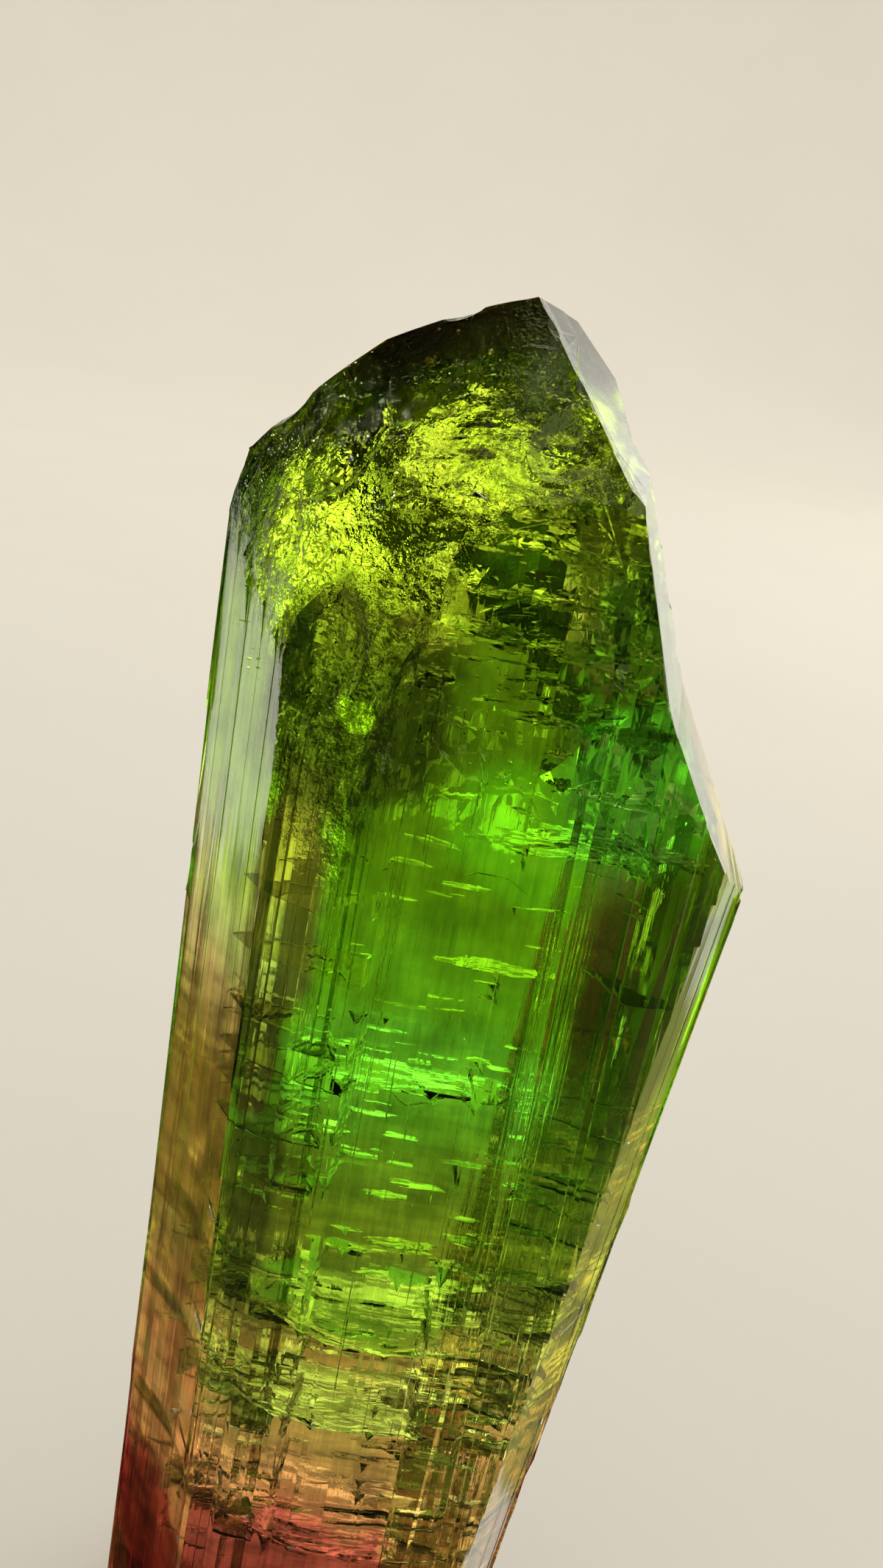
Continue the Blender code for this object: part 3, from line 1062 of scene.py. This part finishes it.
# Uneven patterns: stretch along X, Y and Z, rate per millimetre, detail, roughness and, where
# a pattern is brought to a range, the values between which it goes from the one end to the
# other, those ends, and whether it eases in and out.
PATTERNS = {
    "zone_wander": ((1.0, 1.0, 0.35), 0.16, 2.0, 0.5),
    "ragged_edge": ((1.0, 1.0, 1.0), 0.45, 4.0, 0.6),
    # Painted glints and shade on the etched end.
    "etched_painted_sparkle": ((1.0, 1.0, 0.7), 1.5, 5.0, 0.75, (0.42, 0.60), (0.2, 2.0), True),
    "upright_grain": ((1.0, 1.0, 0.05), 2.6, 3.0, 0.65, (0.3, 0.7), (0.72, 1.22), False),
    "level_bands": ((0.16, 0.16, 1.0), 0.9, 4.0, 0.6, (0.32, 0.68), (0.5, 1.5), False),
    "clouds": ((1.0, 1.0, 1.0), 0.33, 4.0, 0.55, (0.3, 0.7), (0.5, 1.5), False),
    "striation": ((1.0, 1.0, 0.03), 6.0, 3.0, 0.6),
    "back_waves": ((0.28, 0.28, 1.0), 0.9, 2.0, 0.5),
    "etched_grain": ((1.0, 1.0, 1.0), 4.2, 2.0, 0.5),
    "etched_frost": ((1.0, 1.0, 1.0), 2.4, 2.0, 0.5, (0.35, 0.7), (0.0, 0.02), True),
    "gap_tint": ((1.0, 1.0, 1.0), 1.2, 3.0, 0.5, (0.35, 0.65), (0.75, 1.0), True),
    "gap_roughness": ((1.0, 1.0, 1.0), 3.0, 2.0, 0.5, (0.4, 0.7), (0.0, 0.12), True),
    "cream_mottle": ((1.0, 1.0, 1.0), 1.5, 4.0, 0.6, (0.3, 0.7), (0.0, 1.0), True),
    "cream_roughness": ((1.0, 1.0, 1.0), 4.0, 2.0, 0.5, (0.3, 0.7), (0.10, 0.30), True),
    "paper_fibres": ((1.0, 1.0, 1.0), 0.02, 2.0, 0.5, (0.3, 0.7), (0.0, 1.0), True),
}

TOURMALINE_IOR = 1.63
REFLECTION_TINT = (0.42, 0.48, 0.16, 1.0)
DEPTH_COLOUR = (0.72, 0.83, 0.30, 1.0)
DEPTH_DENSITY = 60.0
CLEAR_ROUGHNESS = 0.02
LEFT_ROUGHNESS = 0.12
# Bumps: strength and depth.
STRIATION_BUMP = (0.35, 0.02)
BACK_BUMP = (1.0, 0.2)
ETCHED_BUMP = (1.0, 0.06)
GAP_BLUE = 0.7
CREAM_COLOURS = ((0.6, 0.58, 0.4), (1.0, 0.97, 0.8))


class Nodes:
    """Short calls for building one node tree."""

    def __init__(self, tree):
        self.tree = tree

    def add(self, kind, **settings):
        """A new node with its settings."""
        node = self.tree.nodes.new(kind)
        for name, value in settings.items():
            setattr(node, name, value)
        return node

    def link(self, source, target):
        """Join an output to an input."""
        self.tree.links.new(source, target)

    def fill(self, sockets, inputs):
        """Give each socket a number or tuple, or link it."""
        for socket, given in zip(sockets, inputs):
            if isinstance(given, (int, float, tuple)):
                socket.default_value = given
            else:
                self.link(given, socket)

    def value(self, operation, *inputs):
        """The result of a Math node."""
        node = self.add("ShaderNodeMath", operation=operation)
        self.fill(node.inputs, inputs)
        return node.outputs[0]

    def vector(self, operation, *inputs):
        """The result of a Vector Math node."""
        node = self.add("ShaderNodeVectorMath", operation=operation)
        self.fill(node.inputs, inputs)
        scalar = operation in ("LENGTH", "DISTANCE", "DOT_PRODUCT")
        return node.outputs["Value" if scalar else "Vector"]

    def largest(self, values):
        """The largest of several values, none of them below 0."""
        most = 0.0
        for value in values:
            most = self.value("MAXIMUM", value, most)
        return most

    def height_of(self, place):
        """The Z of a place."""
        node = self.add("ShaderNodeSeparateXYZ")
        self.link(place, node.inputs[0])
        return node.outputs["Z"]

    def place_in_mm(self):
        """The point on the object, in millimetres."""
        where = self.add("ShaderNodeTexCoord")
        return self.vector("MULTIPLY", where.outputs["Object"], (1 / MM, 1 / MM, 1 / MM))

    def range(self, value, low, high, start=0.0, end=1.0, smooth=True):
        """value from low to high brought to start to end, and held there."""
        node = self.add("ShaderNodeMapRange")
        node.interpolation_type = "SMOOTHSTEP" if smooth else "LINEAR"
        self.fill(node.inputs, (value, low, high, start, end))
        return node.outputs["Result"]

    def pattern(self, place, name):
        """One of the uneven patterns."""
        stretch, rate, detail, roughness, *ranged = PATTERNS[name]
        node = self.add("ShaderNodeTexNoise")
        node.inputs["Scale"].default_value = rate
        node.inputs["Detail"].default_value = detail
        node.inputs["Roughness"].default_value = roughness
        self.link(self.vector("MULTIPLY", place, stretch), node.inputs["Vector"])
        if not ranged:
            return node.outputs["Fac"]
        between, ends, smooth = ranged
        return self.range(node.outputs["Fac"], *between, *ends, smooth)

    def ramp(self, factor, stops):
        """A colour ramp over (place, colour) stops."""
        node = self.add("ShaderNodeValToRGB")
        while len(node.color_ramp.elements) < len(stops):
            node.color_ramp.elements.new(0.5)
        for element, (place, colour) in zip(node.color_ramp.elements, stops):
            element.position = place
            element.color = (*colour, 1.0)
        self.link(factor, node.inputs["Fac"])
        return node.outputs["Color"]

    def mix(self, factor, first, second, blend="MIX"):
        """Two colours mixed by a factor."""
        node = self.add("ShaderNodeMix", data_type="RGBA", blend_type=blend)
        # Sockets 6 and 7 are the two colours of a Mix node.
        colours = [(*one, 1.0) if isinstance(one, tuple) else one for one in (first, second)]
        self.fill((node.inputs[0], node.inputs[6], node.inputs[7]), (factor, *colours))
        return node.outputs[2]

    def shade(self, colour, amount):
        """A colour made lighter or darker by an amount."""
        grey = self.add("ShaderNodeCombineColor")
        self.fill(grey.inputs, (amount, amount, amount))
        return self.mix(1.0, colour, grey.outputs[0], "MULTIPLY")

    def bump(self, height, row, normal=None):
        """A normal bent by a height (row: strength, depth), on top of another."""
        node = self.add("ShaderNodeBump")
        node.inputs["Strength"].default_value = row[0]
        node.inputs["Distance"].default_value = row[1] * MM
        self.link(height, node.inputs["Height"])
        if normal is not None:
            self.link(normal, node.inputs["Normal"])
        return node.outputs["Normal"]


def patch_mask(nodes, place, middle, radii, ragged):
    """1 inside an uneven ellipsoid and 0 away from it."""
    scaled = nodes.vector("DIVIDE", nodes.vector("SUBTRACT", place, middle), radii)
    away = nodes.value("MULTIPLY_ADD", ragged, PATCH_RAGGED, nodes.vector("LENGTH", scaled))
    return nodes.range(away, *PATCH_EDGE)


def face_mask(nodes, place, face, depth=MASK_DEPTH, spread=None):
    """1 on one face of the crystal: near its plane and, given a spread, facing its way."""
    azimuth, pitch, point = face
    normal = face_axes(azimuth, pitch)[1]
    away = nodes.vector("DOT_PRODUCT", nodes.vector("SUBTRACT", place, point), tuple(normal))
    near = nodes.range(away, -depth, -depth * MASK_FADE)
    if spread is None:
        return near
    facing = nodes.add("ShaderNodeNewGeometry").outputs["True Normal"]
    along = nodes.value("ABSOLUTE", nodes.vector("DOT_PRODUCT", facing, tuple(normal)))
    least = math.cos(math.radians(spread))
    return nodes.value("MULTIPLY", near, nodes.range(along, least - MASK_TURN, least + MASK_TURN))


def left_mask(nodes, place):
    """1 on the left face."""
    return face_mask(nodes, place, LONG_FACES["left"], spread=LEFT_FACE_SPREAD)


def zones(nodes, height, rows):
    """The colour at a height, given as a share of ZONE_TOP."""
    return nodes.ramp(height, [(z / ZONE_TOP, colour) for z, colour in rows])


def crystal_colour_and_painted_light(nodes, place):
    """The colour zones, by height and face, and patches; much of it is painted light and shade."""
    up = nodes.height_of(place)
    wander = nodes.pattern(place, "zone_wander")
    shift = nodes.value("MULTIPLY_ADD", wander, ZONE_WANDER, -ZONE_WANDER / 2)
    height = nodes.value("DIVIDE", nodes.value("ADD", up, shift), ZONE_TOP)
    colour = zones(nodes, height, FRONT_ZONES)
    # The left face's zones, whitish higher up partly as painted sheen.
    colour = nodes.mix(left_mask(nodes, place), colour, zones(nodes, height, LEFT_ZONES))
    pale = zones(nodes, height, RIGHT_ZONES)
    for face in RIGHT_END_FACES:
        colour = nodes.mix(face_mask(nodes, place, face, spread=RIGHT_FACE_SPREAD), colour, pale)
    ragged = nodes.value("SUBTRACT", nodes.pattern(place, "ragged_edge"), 0.5)
    # Patches of the crystal's own colour and of painted light and shade.
    for middle, radii, shade, strength in COLOUR_AND_PAINTED_LIGHT_PATCHES:
        mask = patch_mask(nodes, place, middle, radii, ragged)
        colour = nodes.mix(nodes.value("MULTIPLY", mask, strength), colour, shade)
    # Painted glints and shade: bright and dark grains over the etched end.
    colour = nodes.shade(colour, etched_painted_sparkle(nodes, place))
    colour = nodes.mix(brow_mask(nodes, place, ragged), colour, BROW_COLOUR)
    return nodes.shade(colour, crystal_grain(nodes, place, height))


def brow_mask(nodes, place, ragged):
    """How much of the brow's colour there is: only on the top faces, above a falling line."""
    split = nodes.add("ShaderNodeSeparateXYZ")
    nodes.link(place, split.inputs[0])
    slope = nodes.value("MULTIPLY", nodes.value("MINIMUM", split.outputs["X"], 0.0), -BROW_FALL)
    height = nodes.value("ADD", split.outputs["Z"], slope)
    height = nodes.value("MULTIPLY_ADD", ragged, BROW_RAGGED, height)
    above = nodes.range(height, BROW_HEIGHT - BROW_EDGE, BROW_HEIGHT + BROW_EDGE)
    faces = [ETCHED_FACES[name] for name in ("top_front", "top_plateau")]
    top = nodes.largest([face_mask(nodes, place, face, BROW_DEPTH) for face in faces])
    return nodes.value("MULTIPLY", nodes.value("MULTIPLY", above, top), BROW_STRENGTH)


def etched_painted_sparkle(nodes, place):
    """Painted glints and shade: bright and dark grains over the etched end, fewer in the glow."""
    masks = [face_mask(nodes, place, ETCHED_FACES["top_front"], TOP_DEPTH)]
    for name in ("etched_lower", "etched_upper", "etched_rim"):
        masks.append(face_mask(nodes, place, ETCHED_FACES[name], ETCHED_DEPTH))
    middle, width, _ = GLOW
    away = nodes.vector("LENGTH", nodes.vector("SUBTRACT", place, tuple(middle)))
    near, far = GLOW_EDGE
    outside = nodes.range(away, near * width, far * width, GLOW_PAINTED_SPARKLE, 1.0)
    etched = nodes.value("MULTIPLY", nodes.largest(masks), outside)
    grains = nodes.value("SUBTRACT", nodes.pattern(place, "etched_painted_sparkle"), 1.0)
    return nodes.value("MULTIPLY_ADD", grains, etched, 1.0)


def crystal_grain(nodes, place, height):
    """Fine light and dark: upright lines all over, and wavy level bands low down."""
    start, end = BANDS_FADE
    low = nodes.range(height, start / ZONE_TOP, end / ZONE_TOP)
    bands = nodes.value("SUBTRACT", nodes.pattern(place, "level_bands"), 1.0)
    level = nodes.value("MULTIPLY_ADD", bands, low, 1.0)
    lines = nodes.value("MULTIPLY", nodes.pattern(place, "upright_grain"), level)
    return nodes.value("MULTIPLY", lines, nodes.pattern(place, "clouds"))


def back_waves(nodes, place):
    """Level unevenness of the lower part of the back, which the front shows as strokes."""
    low = nodes.range(nodes.height_of(place), *BACK_WAVES_FADE)
    faces = [LONG_FACES[name] for name in ("back", "back_right")]
    back = nodes.largest([face_mask(nodes, place, face, ETCHED_DEPTH) for face in faces])
    waves_here = nodes.value("MULTIPLY", nodes.pattern(place, "back_waves"), low)
    return nodes.value("MULTIPLY", waves_here, back)


def new_material(name):
    """A new material with its nodes and its shader."""
    material = bpy.data.materials.new(name)
    material.use_nodes = True
    return material, Nodes(material.node_tree), material.node_tree.nodes["Principled BSDF"]


def make_clear(nodes, shader, colour, rough):
    """Plain clear transmission with a colour and a roughness."""
    nodes.link(colour, shader.inputs["Base Color"])
    nodes.link(rough, shader.inputs["Roughness"])
    shader.inputs["IOR"].default_value = TOURMALINE_IOR
    shader.inputs["Transmission Weight"].default_value = 1.0


def tourmaline():
    """Clear zoned tourmaline, with painted light and shade in its colour."""
    material, nodes, shader = new_material("tourmaline_clear")
    place = nodes.place_in_mm()
    masks = [face_mask(nodes, place, face, ETCHED_DEPTH) for face in ETCHED_FACES.values()]
    etched = nodes.largest(masks)
    normal = nodes.bump(nodes.pattern(place, "striation"), STRIATION_BUMP)
    normal = nodes.bump(back_waves(nodes, place), BACK_BUMP, normal)
    grain = nodes.value("MULTIPLY", nodes.pattern(place, "etched_grain"), etched)
    nodes.link(nodes.bump(grain, ETCHED_BUMP, normal), shader.inputs["Normal"])
    frost = nodes.pattern(place, "etched_frost")
    rough = nodes.value("MULTIPLY_ADD", etched, frost, CLEAR_ROUGHNESS)
    rough = nodes.value("MULTIPLY_ADD", left_mask(nodes, place), LEFT_ROUGHNESS, rough)
    make_clear(nodes, shader, crystal_colour_and_painted_light(nodes, place), rough)
    shader.inputs["Specular Tint"].default_value = REFLECTION_TINT
    depth = nodes.add("ShaderNodeVolumeAbsorption")
    depth.inputs["Color"].default_value = DEPTH_COLOUR
    depth.inputs["Density"].default_value = DEPTH_DENSITY
    nodes.link(depth.outputs[0], material.node_tree.nodes["Material Output"].inputs["Volume"])
    return material


def crack_gap():
    """The air in a crack or tube: the same clear shader on a surface turned inside out."""
    name = "crack_gap"
    if name in bpy.data.materials:
        return bpy.data.materials[name]
    material, nodes, shader = new_material(name)
    place = nodes.place_in_mm()
    tint = nodes.pattern(place, "gap_tint")
    colour = nodes.add("ShaderNodeCombineColor")
    nodes.fill(colour.inputs, (tint, tint, GAP_BLUE))
    make_clear(nodes, shader, colour.outputs[0], nodes.pattern(place, "gap_roughness"))
    return material


def frosted_gap():
    """A gap with finely etched sides, that looks cream."""
    material, nodes, shader = new_material("frosted_gap")
    place = nodes.place_in_mm()
    colour = nodes.mix(nodes.pattern(place, "cream_mottle"), *CREAM_COLOURS)
    make_clear(nodes, shader, colour, nodes.pattern(place, "cream_roughness"))
    return material


# ---- stage, light and camera ----

CAMERA_LENS = 45.0
CAMERA_SENSOR = 36.0
CAMERA_CLIP = 2.0 * MM
CAMERA_RISE = math.radians(18.0)
CAMERA_ROLL = math.radians(10.5)
CAMERA_DISTANCE = 106.6 * MM
CAMERA_TARGET = Vector((0.0, 0.0, 60.5 * MM))

# The stage, in metres.
PAPER = (0.80, 0.755, 0.655)
PAPER_FIBRES = 0.985
PAPER_ROUGHNESS = 0.9
PAPER_SHINE = 0.1
FLOOR_REACH = (-0.8, 0.60)
BACKDROP_BEND = 0.25
BEND_STEPS = 16
BACKDROP_TOP = 0.9
STAGE_WIDTH = 1.8

# The room as the crystal shows it: a bright side, its shades from the dark side to that, the
# even light that the stage gets, how bright the wall looks, and a window in front.
BRIGHT_WAY = (0.15, 0.93, 0.33)
ROOM_SHADES = [
    (0.0, (0.06, 0.06, 0.055)),
    (0.6, (0.10, 0.097, 0.088)),
    (0.67, (0.72, 0.71, 0.63)),
    (0.75, (0.62, 0.60, 0.52)),
    (1.0, (0.88, 0.84, 0.75)),
]
ROOM_STRENGTH = 1.4
AMBIENT = 0.55
ROOM_SEEN = 0.76
WINDOW_WAY = (0.45, -0.62, 0.64)
WINDOW_EDGE = (0.80, 0.93)
WINDOW_COLOUR = (1.6, 1.6, 1.5)
WARM = (1.0, 0.98, 0.95)

# Cards seen only in reflections: name, colour, corner and two sides, in metres.
REFLECTED_CARDS = [
    ("left", (0.01, 0.01, 0.01), (-0.30, -0.40, 0.004), (0.0, 0.85, 0.0), (0.0, 0.0, 0.696)),
    ("left_low", (0.01, 0.01, 0.01), (-0.125, 0.0, 0.001), (0.113, 0.0, 0.0), (0.0, 0.095, 0.0)),
    ("right_low", (0.46, 0.45, 0.16), (0.02, 0.015, 0.001), (0.08, 0.0, 0.0), (0.0, 0.075, 0.0)),
    ("right_far", (0.80, 0.78, 0.35), (0.10, 0.02, 0.001), (0.20, 0.0, 0.0), (0.0, 0.20, 0.0)),
]

# Lights: name, place, size, power, where it shines (None is straight up) and which rays don't
# see it. The glow lights lie on the floor round the crystal and are seen only through it, as
# are the strokes' lights, which its level cracks mirror. Those from glint to spark_left also
# glint on its faces, and the sheen does nothing else.
THROUGH = ("camera", "diffuse", "glossy")
LIGHTS = [
    ("key", (-0.15, 0.45, 1.90), (1.0, 0.80), 4.8, (0.0, 0.25, 0.0), ("glossy",)),
    ("wall_wash", (0.0, 0.25, 0.95), (0.9, 0.3), 3.0, (0.0, 0.85, 0.15), ("glossy",)),
    ("glow_near", (0.060, 0.095, 0.003), (0.036, 0.034), 0.024, None, THROUGH),
    ("glow_link", (0.061, 0.172, 0.003), (0.016, 0.116), 0.027, None, THROUGH),
    ("glow_far", (0.058, 0.266, 0.003), (0.070, 0.070), 0.066, None, THROUGH),
    ("glow_side", (0.105, 0.079, 0.003), (0.055, 0.044), 0.013, None, THROUGH),
    ("glow_fore", (0.008, -0.034, 0.003), (0.034, 0.044), 0.0155, None, THROUGH),
    ("glow_left", (-0.034, 0.037, 0.003), (0.030, 0.040), 0.007, None, THROUGH),
    ("glow_port", (-0.038, -0.046, 0.003), (0.034, 0.056), 0.018, None, THROUGH),
    ("glow_front", (-0.002, 0.187, 0.003), (0.020, 0.022), 0.0017, None, THROUGH),
    ("glow_foot", (0.004, 0.030, 0.003), (0.040, 0.030), 0.0026, None, THROUGH),
    ("strokes_back", (0.0, 0.60, 0.12), (0.50, 0.11), 0.32, CAMERA_TARGET, THROUGH),
    ("strokes_side", (-0.60, 0.23, 0.10), (0.44, 0.20), 0.70, CAMERA_TARGET, THROUGH),
    ("edge_right", (0.36, 0.50, 0.26), (0.26, 0.30), 0.5, CAMERA_TARGET, ()),
    ("glint", (-0.26, 0.05, 0.17), (0.010, 0.010), 0.08, CAMERA_TARGET, ("diffuse",)),
    ("crown", (-0.12, -0.20, 0.60), (0.013, 0.013), 0.24, CAMERA_TARGET, ("diffuse",)),
    ("sparkle", (-0.42, -0.02, 0.62), (0.016, 0.016), 0.40, CAMERA_TARGET, ("diffuse",)),
    ("spark_front", (-0.38, -0.26, 0.36), (0.011, 0.011), 0.20, CAMERA_TARGET, ("diffuse",)),
    ("spark_back", (-0.16, 0.26, 0.58), (0.011, 0.011), 0.22, CAMERA_TARGET, ("diffuse",)),
    ("spark_left", (-0.36, 0.20, 0.40), (0.010, 0.010), 0.15, CAMERA_TARGET, ("diffuse",)),
    (
        "sheen",
        (-0.155, 0.10, 0.002),
        (0.13, 0.14),
        0.028,
        CAMERA_TARGET,
        ("camera", "diffuse", "transmission"),
    ),
]
LIGHT_PATHS = {
    "max_bounces": 20,
    "transmission_bounces": 18,
    "glossy_bounces": 6,
    "diffuse_bounces": 3,
    "sample_clamp_indirect": 6.0,
}


def hide_from(thing, rays):
    """Leave an object or a light out of what these kinds of ray see."""
    for kind in rays:
        setattr(thing, "visible_" + kind, False)


def add_stage_sheet(name, rows, material, hidden):
    """A sheet through rows of two points."""
    mesh = bmesh.new()
    rows = [[mesh.verts.new(place) for place in row] for row in rows]
    for low, high in zip(rows, rows[1:]):
        mesh.faces.new((low[0], low[1], high[1], high[0]))
    sheet = add_object(name, mesh, material)
    sheet.data.shade_smooth()
    hide_from(sheet, hidden)
    sheet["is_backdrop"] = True


def paper_strip(profile):
    """Rows as wide as the stage along a profile of (depth, height)."""
    return [
        [(side * STAGE_WIDTH / 2, depth, height) for side in (-1.0, 1.0)]
        for depth, height in profile
    ]


def make_stage():
    """A pale floor that sweeps up behind the crystal."""
    paper, nodes, shader = new_material("pale_paper")
    fibres = nodes.pattern(nodes.place_in_mm(), "paper_fibres")
    darker = tuple(PAPER_FIBRES * part for part in PAPER)
    nodes.link(nodes.mix(fibres, PAPER, darker), shader.inputs["Base Color"])
    shader.inputs["Roughness"].default_value = PAPER_ROUGHNESS
    shader.inputs["Specular IOR Level"].default_value = PAPER_SHINE
    front, back = FLOOR_REACH
    bend = []
    for step in range(BEND_STEPS + 1):
        angle = math.radians(90.0 * step / BEND_STEPS)
        height = BACKDROP_BEND * (1.0 - math.cos(angle))
        bend.append((back + BACKDROP_BEND * math.sin(angle), height))
    bend.append((back + BACKDROP_BEND, BACKDROP_TOP))
    floor = [(front, 0.0), (back, 0.0)]
    add_stage_sheet("floor", paper_strip(floor), paper, ("glossy",))
    add_stage_sheet("backdrop", paper_strip(bend), paper, ("glossy", "transmission"))


def make_reflected_card(name, colour, *sides):
    """A card beside the crystal that is seen only in reflections."""
    corner, first, second = (Vector(side) for side in sides)
    material, _, shader = new_material(name + "_card_cloth")
    shader.inputs["Base Color"].default_value = (*colour, 1.0)
    shader.inputs["Specular IOR Level"].default_value = 0.0
    rows = [(corner, corner + first), (corner + second, corner + first + second)]
    hidden = ("camera", "diffuse", "transmission", "shadow")
    add_stage_sheet(name + "_card", rows, material, hidden)


def make_light(name, place, size, power, target, hidden):
    """A soft rectangular light."""
    data = bpy.data.lights.new(name, "AREA")
    data.shape = "RECTANGLE"
    data.size, data.size_y = size
    data.energy = power
    data.color = WARM
    light = bpy.data.objects.new(name, data)
    light.location = place
    facing = UP if target is None else Vector(target) - Vector(place)
    light.rotation_euler = facing.to_track_quat("-Z", "Y").to_euler()
    bpy.context.scene.collection.objects.link(light)
    hide_from(light, hidden)


def make_room():
    """The light of the room: uneven in what the crystal shows, even on the floor and wall."""
    world = bpy.data.worlds.new("soft_room")
    bpy.context.scene.world = world
    world.use_nodes = True
    world.cycles.sampling_method = "NONE"
    nodes = Nodes(world.node_tree)
    background = world.node_tree.nodes["Background"]
    way = nodes.add("ShaderNodeTexCoord").outputs["Generated"]
    path = nodes.add("ShaderNodeLightPath")
    facing = nodes.vector("DOT_PRODUCT", way, tuple(Vector(BRIGHT_WAY).normalized()))
    colour = nodes.ramp(nodes.value("MULTIPLY_ADD", facing, 0.5, 0.5), ROOM_SHADES)
    window = nodes.vector("DOT_PRODUCT", way, tuple(Vector(WINDOW_WAY).normalized()))
    colour = nodes.mix(nodes.range(window, *WINDOW_EDGE), colour, WINDOW_COLOUR)
    even = tuple(part * AMBIENT / ROOM_STRENGTH for part in WARM)
    colour = nodes.mix(path.outputs["Is Diffuse Ray"], colour, even)
    seen = tuple(part * ROOM_SEEN / ROOM_STRENGTH for part in PAPER)
    nodes.link(nodes.mix(path.outputs["Is Camera Ray"], colour, seen), background.inputs["Color"])
    background.inputs["Strength"].default_value = ROOM_STRENGTH


def make_camera():
    """A little above the crystal, rolled so that it leans right."""
    data = bpy.data.cameras.new("camera")
    data.lens = CAMERA_LENS
    data.sensor_width = CAMERA_SENSOR
    data.sensor_fit = "AUTO"
    data.clip_start = CAMERA_CLIP
    camera = bpy.data.objects.new("camera", data)
    view = Vector((0.0, math.cos(CAMERA_RISE), -math.sin(CAMERA_RISE)))
    level = Vector((1.0, 0.0, 0.0))
    above = level.cross(view)
    right = level * math.cos(CAMERA_ROLL) + above * math.sin(CAMERA_ROLL)
    up = above * math.cos(CAMERA_ROLL) - level * math.sin(CAMERA_ROLL)
    turned = Matrix((right, up, -view)).transposed().to_4x4()
    camera.matrix_world = Matrix.Translation(CAMERA_TARGET - view * CAMERA_DISTANCE) @ turned
    bpy.context.scene.collection.objects.link(camera)
    bpy.context.scene.camera = camera


def set_rendering():
    """Plain colours, and enough bounces for light to get out of the cracked crystal."""
    scene = bpy.context.scene
    scene.view_settings.view_transform = "Standard"
    for name, amount in LIGHT_PATHS.items():
        setattr(scene.cycles, name, amount)


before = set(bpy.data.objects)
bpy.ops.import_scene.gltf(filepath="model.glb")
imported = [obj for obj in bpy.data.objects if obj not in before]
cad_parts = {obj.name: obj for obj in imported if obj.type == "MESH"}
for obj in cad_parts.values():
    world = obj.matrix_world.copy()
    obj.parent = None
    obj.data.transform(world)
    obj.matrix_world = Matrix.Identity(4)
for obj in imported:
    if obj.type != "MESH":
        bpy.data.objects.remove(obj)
cad_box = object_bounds()
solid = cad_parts["crystal"]
body = Inside(solid)
crystal = make_crystal(solid)
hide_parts("crystal")
make_cracks(body)
make_tubes(body)
make_cream(body)
make_flakes(body)
make_stage()
for card_row in REFLECTED_CARDS:
    make_reflected_card(*card_row)
make_room()
for light_row in LIGHTS:
    make_light(*light_row)
make_camera()
set_rendering()
boxes = [[list(corner) for corner in box] for box in (cad_box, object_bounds())]
